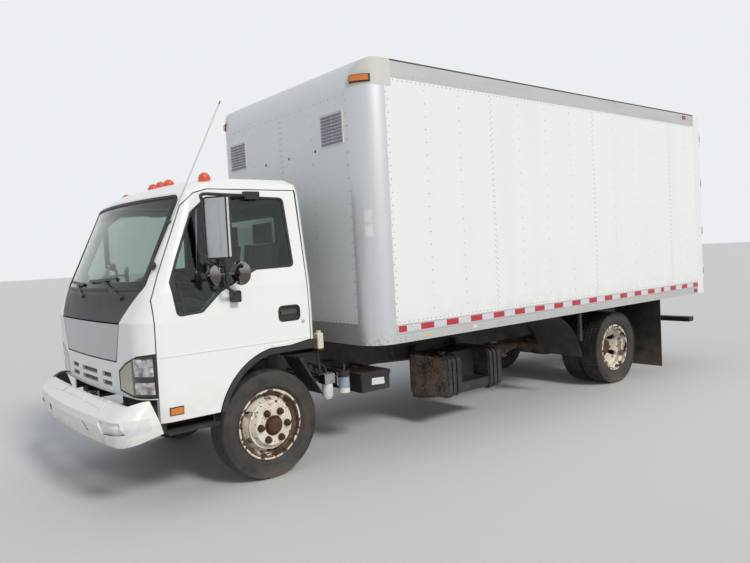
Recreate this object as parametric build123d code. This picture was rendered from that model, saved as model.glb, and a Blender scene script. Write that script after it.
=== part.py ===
# Cab-over box truck with a tilting cab, a dry freight body and twin rear wheels.
# Millimetres. +X is the truck's left side, forward is -Y and +Z is up.
# Every piece is placed from the front axle line (Y = 0) and the ground (Z = 0).
# On writing, the whole truck moves along Y so that the origin is below the middle of its length.
import os

from build123d import *

# Overall sizes
WHEELBASE = 4470
FRONT_OVERHANG = 1200
BOX_LENGTH = 5518
BOX_WIDTH = 2438
BOX_BASE_Z = 897
BOX_TOP_Z = 3165
CAB_WIDTH = 2000
CAB_TOP_Z = 2250
CAB_TO_BOX = 402
CAB_BACK_Y = 395

# Clearances
SHUT_GAP = 7
LID_GAP = 11
PIN_CLEARANCE = 0.3
MOVING_CLEARANCE = 8

# Wheels and tyres
TYRE_RADIUS = 405
TYRE_WIDTH = 222
TYRE_BEAD_RADIUS = 248
RIM_FLANGE_RADIUS = 262
RIM_WIDTH = 160
RIM_THICKNESS = 7
RIM_WELL_RADIUS = 222
DISC_OFFSET = 129
DISC_THICKNESS = 12
HUB_BORE_RADIUS = 60
HUB_CAP_RADIUS = 58
DRUM_RADIUS = 180
STUD_CIRCLE_RADIUS = 111
STUD_COUNT = 6
STUD_RADIUS = 11
NUT_RADIUS = 22
NUT_LENGTH = 32
NUT_WASHER_RADIUS = 27
NUT_WASHER_THICKNESS = 8
DISC_SEAT_RADIUS = 140
HAND_HOLE_COUNT = 6
HAND_HOLE_RADIUS = 30
HAND_HOLE_CIRCLE_RADIUS = 181
FRONT_TYRE_X = 830
REAR_PAIR_X = 825

# Frame, axles and springs
FRAME_WIDTH = 850
FRAME_TOP_Z = 800
RAIL_HEIGHT = 200
RAIL_FLANGE = 70
RAIL_THICKNESS = 8
FRAME_FRONT_Y = -900
CROSS_MEMBER_RADIUS = 45
CROSS_MEMBER_FLANGE_RADIUS = 75
CROSS_MEMBER_FLANGE_THICKNESS = 10
AXLE_DROP = 100
AXLE_BEAM_HEIGHT = 80
AXLE_BEAM_WIDTH = 90
AXLE_BEAM_NECK = 60
AXLE_WEB = 30
AXLE_FLANGE = 18
KINGPIN_X = 740
KINGPIN_RADIUS = 20
KINGPIN_BOSS_RADIUS = 34
KINGPIN_BOSS_HEIGHT = 100
KNUCKLE_ARM_HEIGHT = 40
STEERING_ARM_LENGTH = 170
STEERING_ARM_DROP = 105
STEERING_ARM_THICKNESS = 24
STEERING_ARM_WIDTH = 32
TIE_ROD_RADIUS = 10
TIE_PIN_RADIUS = 10
SPINDLE_RADIUS = 32
SPRING_WIDTH = 70
SPRING_X = 390
REAR_SPRING_X = 490
LEAF_THICKNESS = 14
REAR_TUBE_RADIUS = 62
REAR_SPINDLE_RADIUS = 40
DIFF_RADIUS = 165
SHAFT_RADIUS = 45
TANK_OUTER_X = 1000
TANK_INNER_X = 520
TANK_FRONT_Y = 1775
TANK_REAR_Y = 2540
TANK_BASE_Z = 280
TANK_TOP_Z = 665

# Cab tilt pivot on the front end of the frame
TILT_Y = -850
TILT_Z = 735
TILT_PIN_RADIUS = 15
TILT_LUG_THICKNESS = 30

# Cab shell
CAB_WALL = 45
DOOR_THICKNESS = 54
DOOR_FRONT_THICKNESS = 20
DOOR_FLANGE = 22
DOOR_REBATE = 26
GLASS_THICKNESS = 6
GLASS_INSET = 4
HANDLE_POCKET_DEPTH = 16
CAB_FLOOR_Z = 1010
CAB_FLOOR_THICKNESS = 25
CAB_NOSE_BASE_Z = 752
CAB_SIDE_BASE_Z = 585
DOOR_TOP_Z = 2140
DOOR_REAR_Y = 338
DOOR_TOP_STEP = 8
DOOR_FRONT_Y = -848
ARCH_TOP_Z = 984
ARCH_REAR_Z = 1004
ARCH_BEND_Y = -10
ARCH_FOOT_Y = -432
BACK_CORNER_RADIUS = 70

# Van body
BOX_WALL = 40
BOX_POST_RADIUS = 225
BOX_NOSE_RADIUS = 289
BOX_SEAM_STEP = 12
BOX_DECK_THICKNESS = 35
BOX_DECK_Z = 1036
BOX_ROOF_RISE = 60
LOWER_RAIL_HEIGHT = 150
LOWER_RAIL_DEPTH = 50
TOP_RAIL_HEIGHT = 148
REAR_POST_WIDTH = 120
REAR_POST_DEPTH = 150
REAR_DOOR_THICKNESS = 38
CROSS_BEAM_PITCH = 400
CROSS_BEAM_WIDTH = 50
STEP_OVERHANG = 60

# Places that several pieces share
BOX_FRONT_Y = CAB_BACK_Y + CAB_TO_BOX
BOX_REAR_Y = BOX_FRONT_Y + BOX_LENGTH
HALF_BOX = BOX_WIDTH / 2
HALF_CAB = CAB_WIDTH / 2
HALF_FRAME = FRAME_WIDTH / 2
FRAME_BASE_Z = FRAME_TOP_Z - RAIL_HEIGHT
FRAME_REAR_Y = BOX_REAR_Y - 120
STEP_REAR_Y = BOX_REAR_Y + STEP_OVERHANG
ORIGIN_Y = (STEP_REAR_Y - FRONT_OVERHANG) / 2

os.makedirs("parts", exist_ok=True)


def save(node, *shapes):
    """Write one node, moved from the front axle frame to the middle of the truck's length."""
    solids = [solid for shape in shapes for solid in shape.solids()]
    export_step(Pos(0, -ORIGIN_Y, 0) * Compound(children=solids), f"parts/{node}.step")


def block(x0, x1, y0, y1, z0, z1):
    """A box between two limits along each axis."""
    middle = ((x0 + x1) / 2, (y0 + y1) / 2, (z0 + z1) / 2)
    return Pos(*middle) * Box(abs(x1 - x0), abs(y1 - y0), abs(z1 - z0))


def rod(start, end, radius):
    """A round bar between two points."""
    axis = Vector(*end) - Vector(*start)
    return Plane(origin=start, z_dir=axis) * Pos(0, 0, axis.length / 2) * Cylinder(radius, axis.length)


def outline(points, radius=0):
    """A closed face through the points, with every corner rounded where a radius is given."""
    face = make_face(Polyline(*points, close=True))
    return fillet(face.vertices(), radius) if radius else face


def side_prism(face, x0, x1):
    """A face drawn as (Y, Z), extruded between two X places."""
    return extrude(Plane.YZ.offset(x0) * face, amount=x1 - x0)


def front_prism(face, y0, y1):
    """A face drawn as (X, Z), extruded between two Y places."""
    return extrude(Plane.XZ.offset(-y1) * face, amount=y1 - y0)


def top_prism(face, z0, z1):
    """A face drawn as (X, Y), extruded between two heights."""
    return extrude(Pos(0, 0, z0) * face, amount=z1 - z0)


def flipped(shape):
    """The same piece on the other side of the truck."""
    return mirror(shape, about=Plane.YZ)


# Ladder frame: two channel rails, tubular cross members, the cab's pivot pins and the tank's brackets
def channel_rail(side):
    web_x = side * HALF_FRAME
    inner_x = side * (HALF_FRAME - RAIL_FLANGE)
    face_x = side * (HALF_FRAME - RAIL_THICKNESS)
    solid = block(web_x, inner_x, FRAME_FRONT_Y, FRAME_REAR_Y, FRAME_BASE_Z, FRAME_TOP_Z)
    hollow = block(face_x, inner_x, FRAME_FRONT_Y, FRAME_REAR_Y,
                   FRAME_BASE_Z + RAIL_THICKNESS, FRAME_TOP_Z - RAIL_THICKNESS)
    return solid - hollow


CROSS_MEMBER_Y = (-700, 1180, 1900, 2700, 3600, 5300, FRAME_REAR_Y - 80)
TILT_PIN_END_X = HALF_FRAME + MOVING_CLEARANCE + TILT_LUG_THICKNESS + 6
WEB_INNER_X = HALF_FRAME - RAIL_THICKNESS
CAB_REST_Y = 345
CAB_REST_BAR_RADIUS = 18
CAB_REST_POST_X = 455
CAB_REST_PLATE = 10
CAB_REST_TOP_Z = CAB_FLOOR_Z - CAB_FLOOR_THICKNESS - 5
CAB_REST_BAR_Z = CAB_REST_TOP_Z - 28

ladder_frame = channel_rail(1) + channel_rail(-1)
member_z = FRAME_BASE_Z + RAIL_HEIGHT / 2
for y in CROSS_MEMBER_Y:
    ladder_frame += rod((-WEB_INNER_X - 1, y, member_z), (WEB_INNER_X + 1, y, member_z), CROSS_MEMBER_RADIUS)
    for side in (1, -1):
        ladder_frame += rod((side * (WEB_INNER_X - CROSS_MEMBER_FLANGE_THICKNESS), y, member_z),
                            (side * (WEB_INNER_X + 1), y, member_z), CROSS_MEMBER_FLANGE_RADIUS)
for side in (1, -1):
    ladder_frame += rod((side * WEB_INNER_X, TILT_Y, TILT_Z), (side * TILT_PIN_END_X, TILT_Y, TILT_Z),
                        TILT_PIN_RADIUS)
for y in (TANK_FRONT_Y + 103, TANK_REAR_Y - 103):
    ladder_frame += block(HALF_FRAME, TANK_INNER_X, y - 30, y + 30, TANK_BASE_Z - 14, FRAME_BASE_Z + 120)
    ladder_frame += block(HALF_FRAME, TANK_OUTER_X - 80, y - 30, y + 30, TANK_BASE_Z - 14, TANK_BASE_Z)
    gusset = outline(((TANK_INNER_X, TANK_BASE_Z - 14), (TANK_INNER_X, TANK_BASE_Z - 70),
                      (TANK_OUTER_X - 160, TANK_BASE_Z - 14)))
    ladder_frame += front_prism(gusset, y - 5, y + 5)
    ladder_frame += block(HALF_FRAME, TANK_INNER_X, y - 5, y + 5, TANK_BASE_Z - 70, TANK_BASE_Z)

# Rear cab rest: two posts on the rails with a cross tube, and a rubber block on each under the floor
for side in (1, -1):
    post_side = outline(((CAB_REST_Y - 70, FRAME_BASE_Z + 40), (CAB_REST_Y + 70, FRAME_BASE_Z + 40),
                         (CAB_REST_Y + 70, FRAME_TOP_Z - 20), (CAB_REST_Y + 25, CAB_REST_TOP_Z - 20),
                         (CAB_REST_Y - 25, CAB_REST_TOP_Z - 20), (CAB_REST_Y - 70, FRAME_TOP_Z - 20)))
    ladder_frame += side_prism(post_side, side * HALF_FRAME, side * (HALF_FRAME + CAB_REST_PLATE))
    ladder_frame += block(side * HALF_FRAME, side * (CAB_REST_POST_X + 30), CAB_REST_Y - 25, CAB_REST_Y + 25,
                          CAB_REST_TOP_Z - 30, CAB_REST_TOP_Z - 20)
    ladder_frame += Pos(side * CAB_REST_POST_X, CAB_REST_Y, CAB_REST_TOP_Z - 10) * Cylinder(22, 20)
bar_end_x = HALF_FRAME + CAB_REST_PLATE / 2
ladder_frame += rod((-bar_end_x, CAB_REST_Y, CAB_REST_BAR_Z), (bar_end_x, CAB_REST_Y, CAB_REST_BAR_Z),
                    CAB_REST_BAR_RADIUS)
save("ladder_frame", ladder_frame)

# Front bumper: a moulded shell with a sloping tread on top, round ends, two pockets a side and two brackets
BUMPER_HALF_WIDTH = 1010
BUMPER_WALL = 12
BUMPER_BASE_Z = 470
BUMPER_TREAD_REAR_Z = 724
BUMPER_END_TOP_Z = 754
BUMPER_END_BASE_Z = 527
BUMPER_END_Y = -840
BUMPER_END_TOP_Y = -918
BUMPER_REAR_Y = -800
BUMPER_POCKET_DEPTH = 14
BUMPER_TOP_FLANGE = 22
BUMPER_LEVELS = (
    # height, step in from the half width, step back from the front, sag of the front, corner radius
    (BUMPER_BASE_Z, 30, 34, 60, 150),
    (600, 0, 0, 60, 160),
    (645, 3, 12, 60, 160),
    (BUMPER_END_TOP_Z, 22, 155, 35, 130),
)
BUMPER_POCKETS = (
    # four corners of a pocket, as places across and heights
    ((700, 632), (950, 640), (975, 562), (735, 545)),
    ((395, 592), (440, 592), (505, 532), (455, 532)),
)


def bumper_plan(z, side_step, front_step, sag, corner, inset):
    """The bumper's outline at one height, drawn in by an inset."""
    half = BUMPER_HALF_WIDTH - side_step - inset
    front = -FRONT_OVERHANG + front_step + inset
    arc = ThreePointArc((half, front + sag), (0, front), (-half, front + sag))
    rest = Polyline((-half, front + sag), (-half, BUMPER_REAR_Y), (half, BUMPER_REAR_Y), (half, front + sag))
    face = make_face([arc, rest])
    return Pos(0, 0, z) * fillet(face.vertices().group_by(Axis.Y)[0], corner - inset)


def bumper_form(inset):
    """The bumper's closed form, drawn in by an inset."""
    return loft([bumper_plan(*level, inset) for level in BUMPER_LEVELS], ruled=True)


front_bumper = bumper_form(0) - Pos(0, 0, -BUMPER_WALL) * bumper_form(BUMPER_WALL)
for corners in BUMPER_POCKETS:
    for side in (1, -1):
        pocket_face = outline([(side * x, z) for x, z in corners], 8)
        rim = front_prism(offset(pocket_face, BUMPER_WALL), -FRONT_OVERHANG - 10, -1040)
        pocket = front_prism(pocket_face, -FRONT_OVERHANG - 10, -1040)
        front_bumper += (bumper_form(1) - bumper_form(BUMPER_WALL + BUMPER_POCKET_DEPTH)) & rim
        front_bumper -= pocket - bumper_form(BUMPER_POCKET_DEPTH)
tread_cut = outline(((-BUMPER_HALF_WIDTH + 25, BUMPER_END_TOP_Z + 6), (-900, BUMPER_TREAD_REAR_Z),
                     (900, BUMPER_TREAD_REAR_Z), (BUMPER_HALF_WIDTH - 25, BUMPER_END_TOP_Z + 6)))
front_bumper -= front_prism(tread_cut, -FRONT_OVERHANG, BUMPER_REAR_Y + 1)
behind_tread = bumper_plan(*BUMPER_LEVELS[-1], BUMPER_TOP_FLANGE)
front_bumper -= extrude(Pos(0, 0, -BUMPER_WALL - 2) * behind_tread, amount=BUMPER_WALL + 4)
bumper_side = outline(((-FRONT_OVERHANG - 10, BUMPER_BASE_Z), (-1090, BUMPER_BASE_Z),
                       (BUMPER_END_Y, BUMPER_END_BASE_Z), (BUMPER_END_TOP_Y, BUMPER_END_TOP_Z),
                       (-FRONT_OVERHANG - 10, BUMPER_END_TOP_Z)))
front_bumper = front_bumper & side_prism(bumper_side, -BUMPER_HALF_WIDTH, BUMPER_HALF_WIDTH)
for side in (1, -1):
    bracket = block(side * 330, side * 345, -FRONT_OVERHANG, FRAME_FRONT_Y + 60, 560, 640)
    front_bumper += bracket & bumper_form(BUMPER_WALL / 2)
    front_bumper += block(side * 330, side * 345, -1000, FRAME_FRONT_Y + 60, 560, 640)
    front_bumper += block(side * 345, side * WEB_INNER_X, FRAME_FRONT_Y, FRAME_FRONT_Y + 60,
                          FRAME_BASE_Z + RAIL_THICKNESS, 640)
save("front_bumper", front_bumper)

# Front axle: a dropped beam between two kingpin eyes, with the pins
AXLE_Z = TYRE_RADIUS
BEAM_TOP_Z = AXLE_Z - AXLE_DROP + AXLE_BEAM_HEIGHT / 2
BEAM_BASE_Z = BEAM_TOP_Z - AXLE_BEAM_HEIGHT
EYE_TOP_Z = AXLE_Z + KINGPIN_BOSS_HEIGHT / 2
EYE_BASE_Z = AXLE_Z - KINGPIN_BOSS_HEIGHT / 2
BEAM_BEND_X = 480
EYE_NECK_X = KINGPIN_X - KINGPIN_BOSS_RADIUS - MOVING_CLEARANCE
beam_side = ((-BEAM_BEND_X, BEAM_BASE_Z), (BEAM_BEND_X, BEAM_BASE_Z), (EYE_NECK_X, EYE_BASE_Z),
             (KINGPIN_X, EYE_BASE_Z), (KINGPIN_X, EYE_TOP_Z), (EYE_NECK_X, EYE_TOP_Z),
             (BEAM_BEND_X + 40, BEAM_TOP_Z), (-BEAM_BEND_X - 40, BEAM_TOP_Z), (-EYE_NECK_X, EYE_TOP_Z),
             (-KINGPIN_X, EYE_TOP_Z), (-KINGPIN_X, EYE_BASE_Z), (-EYE_NECK_X, EYE_BASE_Z))
beam_face = outline(beam_side)
front_axle = front_prism(beam_face, -AXLE_BEAM_NECK / 2, AXLE_BEAM_NECK / 2)
front_axle += front_prism(beam_face, -AXLE_BEAM_WIDTH / 2, AXLE_BEAM_WIDTH / 2) & block(
    -BEAM_BEND_X - 60, BEAM_BEND_X + 60, -AXLE_BEAM_WIDTH, AXLE_BEAM_WIDTH, 0, AXLE_Z)
web_face = outline(((-BEAM_BEND_X, BEAM_BASE_Z + AXLE_FLANGE), (BEAM_BEND_X, BEAM_BASE_Z + AXLE_FLANGE),
                    (BEAM_BEND_X + 30, BEAM_TOP_Z - AXLE_FLANGE),
                    (-BEAM_BEND_X - 30, BEAM_TOP_Z - AXLE_FLANGE)), 12)
for side in (1, -1):
    front_axle -= front_prism(web_face, *sorted((side * AXLE_WEB / 2, side * AXLE_BEAM_WIDTH)))
for side in (1, -1):
    front_axle += Pos(side * KINGPIN_X, 0, AXLE_Z) * Cylinder(KINGPIN_BOSS_RADIUS, KINGPIN_BOSS_HEIGHT)
    front_axle += Pos(side * KINGPIN_X, 0, AXLE_Z) * Cylinder(
        KINGPIN_RADIUS, KINGPIN_BOSS_HEIGHT + 2 * KNUCKLE_ARM_HEIGHT)
    front_axle += block(side * (SPRING_X - 60), side * (SPRING_X + 60), -70, 70, BEAM_TOP_Z - 20, BEAM_TOP_Z)
save("front_axle", front_axle)

# Steering knuckles: a yoke round the axle eye, a spindle for the hub and an arm to the tie rod
KNUCKLE_GAP = 6
YOKE_FACE_X = 42
SPINDLE_END_X = FRONT_TYRE_X + DISC_OFFSET
TIE_Z = AXLE_Z - STEERING_ARM_DROP


def knuckle(side):
    arm_z = EYE_TOP_Z + KNUCKLE_GAP
    boss = Cylinder(KINGPIN_BOSS_RADIUS, KNUCKLE_ARM_HEIGHT - KNUCKLE_GAP)
    half_boss = (KNUCKLE_ARM_HEIGHT - KNUCKLE_GAP) / 2
    pin = (side * KINGPIN_X, 0)
    body = Pos(*pin, arm_z + half_boss) * boss
    body += Pos(*pin, EYE_BASE_Z - KNUCKLE_GAP - half_boss) * boss
    plate_x = pin[0] + side * YOKE_FACE_X
    low = EYE_BASE_Z - KNUCKLE_ARM_HEIGHT
    high = EYE_TOP_Z + KNUCKLE_ARM_HEIGHT
    body += block(plate_x, plate_x + side * 22, -40, 40, low, high)
    for z0 in (low, EYE_TOP_Z + KNUCKLE_GAP):
        body += block(pin[0], plate_x + side, -30, 30, z0, z0 + KNUCKLE_ARM_HEIGHT - KNUCKLE_GAP)
    body += rod((plate_x, 0, AXLE_Z), (side * (SPINDLE_END_X - 20), 0, AXLE_Z), SPINDLE_RADIUS)
    body -= Pos(*pin, AXLE_Z) * Cylinder(KINGPIN_RADIUS + PIN_CLEARANCE, high - low + 2)
    half_arm = STEERING_ARM_THICKNESS / 2
    half_width = STEERING_ARM_WIDTH / 2
    arm_tip = Pos(pin[0], STEERING_ARM_LENGTH, TIE_Z) * Cylinder(half_width + 8, STEERING_ARM_THICKNESS)
    arm = block(pin[0] - half_width, pin[0] + half_width, 20, STEERING_ARM_LENGTH,
                TIE_Z - half_arm, TIE_Z + half_arm)
    post = block(pin[0] - half_width, pin[0] + half_width, 22, 62, TIE_Z - half_arm, low + 20)
    arm_pin = Pos(pin[0], STEERING_ARM_LENGTH, TIE_Z + half_arm + 14) * Cylinder(TIE_PIN_RADIUS, 32)
    return body + arm + arm_tip + post + arm_pin


save("left_knuckle", knuckle(1))
save("right_knuckle", knuckle(-1))

# Tie rod: one bar between the two steering arms, with an eye round each pin
TIE_EYE_RADIUS = 22
TIE_EYE_HEIGHT = 22
RIGHT_EYE_CLEARANCE = 1.5
tie_z = TIE_Z + STEERING_ARM_THICKNESS / 2 + 2 + TIE_EYE_HEIGHT / 2
tie_rod = rod((-KINGPIN_X, STEERING_ARM_LENGTH, tie_z), (KINGPIN_X, STEERING_ARM_LENGTH, tie_z),
              TIE_ROD_RADIUS)
for side, clearance in ((1, PIN_CLEARANCE), (-1, RIGHT_EYE_CLEARANCE)):
    place = Pos(side * KINGPIN_X, STEERING_ARM_LENGTH, tie_z)
    tie_rod += place * Cylinder(TIE_EYE_RADIUS, TIE_EYE_HEIGHT)
    tie_rod -= place * Cylinder(TIE_PIN_RADIUS + clearance, TIE_EYE_HEIGHT + 2)
save("tie_rod", tie_rod)


# Tyres and disc wheels, drawn as a half section in (axial, radial) and turned round the axle
def turned(points, radius=0):
    """A half section drawn as (axial place outward, radius), turned round the X axis."""
    return revolve(outline(points, radius), Axis.X)


def tyre():
    half = TYRE_WIDTH / 2
    shoulder = TYRE_RADIUS - 22
    tread_half = half - 22
    bead_half = RIM_WIDTH / 2 - 2
    widest = (TYRE_RADIUS + TYRE_BEAD_RADIUS) / 2
    low_side = ThreePointArc((bead_half, TYRE_BEAD_RADIUS + 16), (half, widest), (tread_half + 12, shoulder))
    crown = ThreePointArc((tread_half, TYRE_RADIUS - 6), (0, TYRE_RADIUS), (-tread_half, TYRE_RADIUS - 6))
    other_side = ThreePointArc((-tread_half - 12, shoulder), (-half, widest),
                               (-bead_half, TYRE_BEAD_RADIUS + 16))
    lines = [low_side,
             Line((tread_half + 12, shoulder), (tread_half, TYRE_RADIUS - 6)),
             crown,
             Line((-tread_half, TYRE_RADIUS - 6), (-tread_half - 12, shoulder)),
             other_side,
             Line((-bead_half, TYRE_BEAD_RADIUS + 16), (-bead_half, TYRE_BEAD_RADIUS)),
             Line((-bead_half, TYRE_BEAD_RADIUS), (bead_half, TYRE_BEAD_RADIUS)),
             Line((bead_half, TYRE_BEAD_RADIUS), (bead_half, TYRE_BEAD_RADIUS + 16))]
    return revolve(make_face(lines), Axis.X)


def disc_wheel():
    """One rim with its dished disc, centred on the tyre, with the disc's face towards +X."""
    half = RIM_WIDTH / 2
    seat = TYRE_BEAD_RADIUS
    well = RIM_WELL_RADIUS
    t = RIM_THICKNESS
    rim = turned(((-half - 6, RIM_FLANGE_RADIUS), (-half, RIM_FLANGE_RADIUS), (-half, seat),
                  (-half + 30, seat), (-half + 45, well), (half - 45, well), (half - 30, seat), (half, seat),
                  (half, RIM_FLANGE_RADIUS), (half + 6, RIM_FLANGE_RADIUS), (half + 6, seat - t),
                  (half - 26, seat - t), (half - 41, well - t), (-half + 41, well - t),
                  (-half + 26, seat - t), (-half - 6, seat - t)))
    face = DISC_OFFSET
    back = DISC_OFFSET - DISC_THICKNESS
    disc = turned(((back, HUB_BORE_RADIUS), (back, STUD_CIRCLE_RADIUS + 30), (half - 60, well - t - 22),
                   (half - 75, well - t), (half - 50, well - t), (half - 46, well - t - 8),
                   (face, STUD_CIRCLE_RADIUS + 34), (face, HUB_BORE_RADIUS)))
    wheel = rim + disc
    for k in range(HAND_HOLE_COUNT):
        hole = Pos(half, 0, HAND_HOLE_CIRCLE_RADIUS) * Rot(0, 90, 0) * Cylinder(HAND_HOLE_RADIUS, RIM_WIDTH)
        wheel -= Rot(360 / HAND_HOLE_COUNT * k, 0, 0) * hole
    return wheel


def nuts(face_x):
    """A ring of wheel nuts on their washers, each with the end of its stud."""
    ring = []
    place = Plane.YZ * Pos(0, STUD_CIRCLE_RADIUS)
    washer = extrude(place * Circle(NUT_WASHER_RADIUS), amount=NUT_WASHER_THICKNESS)
    nut = extrude(place * RegularPolygon(NUT_RADIUS, 6), amount=NUT_LENGTH)
    stud = extrude(place * Circle(STUD_RADIUS), amount=NUT_LENGTH + 12)
    for k in range(STUD_COUNT):
        ring.append(Pos(face_x, 0, 0) * Rot(360 / STUD_COUNT * (k + 0.5), 0, 0) * (washer + nut + stud))
    return ring


def front_hub():
    """Hub and drum that turn on the spindle, drawn with the tyre's middle at X = 0."""
    seat = DISC_OFFSET - DISC_THICKNESS
    bore = SPINDLE_RADIUS + PIN_CLEARANCE
    back = -22
    cap_x = DISC_OFFSET + 40
    return turned(((back, bore), (back, DRUM_RADIUS), (seat - 30, DRUM_RADIUS), (seat - 30, DISC_SEAT_RADIUS),
                   (seat, DISC_SEAT_RADIUS), (seat, HUB_CAP_RADIUS), (cap_x - 14, HUB_CAP_RADIUS),
                   (cap_x, HUB_CAP_RADIUS - 16), (cap_x, 0), (DISC_OFFSET, 0), (DISC_OFFSET, bore)))


def rear_hub():
    """Hub and drum of a twin wheel, drawn with the middle of the pair at X = 0."""
    bore = REAR_SPINDLE_RADIUS + PIN_CLEARANCE
    back = -150
    drum = DRUM_RADIUS + 10
    seat = -DISC_THICKNESS
    cap_x = 100
    flange = HUB_CAP_RADIUS + 22
    return turned(((back, bore), (back, drum), (-40, drum), (seat - 14, DISC_SEAT_RADIUS),
                   (seat, DISC_SEAT_RADIUS), (seat, HUB_CAP_RADIUS), (cap_x - 14, HUB_CAP_RADIUS),
                   (cap_x - 14, flange), (cap_x, flange), (cap_x + 10, 26), (cap_x + 10, 0), (cap_x - 20, 0),
                   (cap_x - 20, bore)))


front_wheel = disc_wheel() + front_hub()
for nut in nuts(DISC_OFFSET):
    front_wheel += nut
outer_disc = Pos(DISC_OFFSET, 0, 0) * Rot(0, 0, 180) * disc_wheel()
inner_disc = Pos(-DISC_OFFSET, 0, 0) * disc_wheel()
rear_wheel = inner_disc + outer_disc + rear_hub()
for nut in nuts(DISC_THICKNESS):
    rear_wheel += nut
place_front = Pos(FRONT_TYRE_X, 0, AXLE_Z)
place_rear = Pos(REAR_PAIR_X, WHEELBASE, AXLE_Z)
save("left_front_tyre", place_front * tyre())
save("left_front_wheel", place_front * front_wheel)
save("right_front_tyre", flipped(place_front * tyre()))
save("right_front_wheel", flipped(place_front * front_wheel))
rear_tyres = [place_rear * Pos(shift, 0, 0) * tyre() for shift in (DISC_OFFSET, -DISC_OFFSET)]
save("left_rear_tyres", *rear_tyres)
save("left_rear_wheels", place_rear * rear_wheel)
save("right_rear_tyres", *[flipped(one) for one in rear_tyres])
save("right_rear_wheels", flipped(place_rear * rear_wheel))

# Rear axle: a housing that swells round the differential, its pinion nose and a spindle at each end
tube_end_x = REAR_PAIR_X - 150 - MOVING_CLEARANCE
NOSE_LENGTH = 280
REAR_SEAT_HALF_LENGTH = 80
rear_axle = turned(((-tube_end_x, 0), (-tube_end_x, REAR_TUBE_RADIUS), (-330, REAR_TUBE_RADIUS),
                    (-120, DIFF_RADIUS - 8), (-60, DIFF_RADIUS), (60, DIFF_RADIUS), (120, DIFF_RADIUS - 8),
                    (330, REAR_TUBE_RADIUS), (tube_end_x, REAR_TUBE_RADIUS), (tube_end_x, 0)))
nose_turn = Rot(90, 0, 0)
rear_axle += Pos(0, -DIFF_RADIUS, 0) * nose_turn * Cone(130, 70, 120)
rear_axle += Pos(0, -NOSE_LENGTH + 60, 0) * nose_turn * Cylinder(60, 120)
rear_axle += Pos(0, -NOSE_LENGTH + 10, 0) * nose_turn * Cylinder(85, 20)
rear_axle = Pos(0, WHEELBASE, AXLE_Z) * rear_axle
rear_axle += rod((-REAR_PAIR_X - 60, WHEELBASE, AXLE_Z), (REAR_PAIR_X + 60, WHEELBASE, AXLE_Z),
                 REAR_SPINDLE_RADIUS)
for side in (1, -1):
    rear_axle += block(side * (REAR_SPRING_X - 50), side * (REAR_SPRING_X + 50),
                       WHEELBASE - REAR_SEAT_HALF_LENGTH, WHEELBASE + REAR_SEAT_HALF_LENGTH,
                       AXLE_Z, AXLE_Z + REAR_TUBE_RADIUS)
save("rear_axle", rear_axle)


# Leaf springs: packs of arcs that hang from the rails, with pads on the axles
def leaf_pack(x, y, seat_z, half_length, camber, leaves):
    """One pack on its seat, its ends bent up by the camber, with a hanger block at each end."""
    pack = None
    for k in range(leaves):
        reach = half_length * (1 - 0.22 * k)
        rise = camber * (reach / half_length) ** 2
        low = seat_z + (leaves - 1 - k) * LEAF_THICKNESS
        arc = ThreePointArc((y - reach, low + rise), (y, low), (y + reach, low + rise))
        upper = ThreePointArc((y + reach, low + rise + LEAF_THICKNESS), (y, low + LEAF_THICKNESS),
                              (y - reach, low + rise + LEAF_THICKNESS))
        ends = (Line((y + reach, low + rise), (y + reach, low + rise + LEAF_THICKNESS)),
                Line((y - reach, low + rise + LEAF_THICKNESS), (y - reach, low + rise)))
        leaf_face = make_face([arc, ends[0], upper, ends[1]])
        leaf = side_prism(leaf_face, x - SPRING_WIDTH / 2, x + SPRING_WIDTH / 2)
        pack = leaf if pack is None else pack + leaf
    return pack


FRONT_SPRING_HALF = 560
FRONT_CAMBER = 120
REAR_SPRING_HALF = 680
REAR_CAMBER = 60
SPRING_EYE_RADIUS = 26
spring_solids = []


def spring_with_hangers(side, x, y, seat_z, half_length, camber, leaves, hanger_top_z):
    """A leaf pack with rolled eyes, tapered hangers, and the clamp plate and bolts over its seat."""
    pack = leaf_pack(side * x, y, seat_z, half_length, camber, leaves)
    outer, inner = side * (x + SPRING_WIDTH / 2), side * (x - SPRING_WIDTH / 2)
    eye_z = seat_z + (leaves - 1) * LEAF_THICKNESS + camber + SPRING_EYE_RADIUS
    for end_y in (y - half_length, y + half_length):
        pack += rod((inner, end_y, eye_z), (outer, end_y, eye_z), SPRING_EYE_RADIUS)
        hanger = outline(((end_y - 30, eye_z - 20), (end_y + 30, eye_z - 20), (end_y + 55, hanger_top_z),
                          (end_y - 55, hanger_top_z)))
        pack += side_prism(hanger, inner, outer)
    plate_z = seat_z + leaves * LEAF_THICKNESS
    pack += block(inner - side * 18, outer + side * 18, y - 70, y + 70, plate_z, plate_z + 12)
    for bolt_y in (y - 56, y + 56):
        for bolt_x in (inner - side * 9, outer + side * 9):
            pack += rod((bolt_x, bolt_y, seat_z), (bolt_x, bolt_y, plate_z + 26), 8)
    return pack


for side in (1, -1):
    spring_solids.append(spring_with_hangers(side, SPRING_X, 0, BEAM_TOP_Z, FRONT_SPRING_HALF,
                                             FRONT_CAMBER, 3, FRAME_BASE_Z))
    rear_pack = spring_with_hangers(side, REAR_SPRING_X, WHEELBASE, AXLE_Z + REAR_TUBE_RADIUS,
                                    REAR_SPRING_HALF, REAR_CAMBER, 4, FRAME_BASE_Z + 120)
    for y in (WHEELBASE - REAR_SPRING_HALF, WHEELBASE + REAR_SPRING_HALF):
        rear_pack += block(side * HALF_FRAME, side * (REAR_SPRING_X - 30), y - 45, y + 45,
                           FRAME_BASE_Z + 20, FRAME_BASE_Z + 120)
    spring_solids.append(rear_pack)
save("leaf_springs", *spring_solids)

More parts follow.
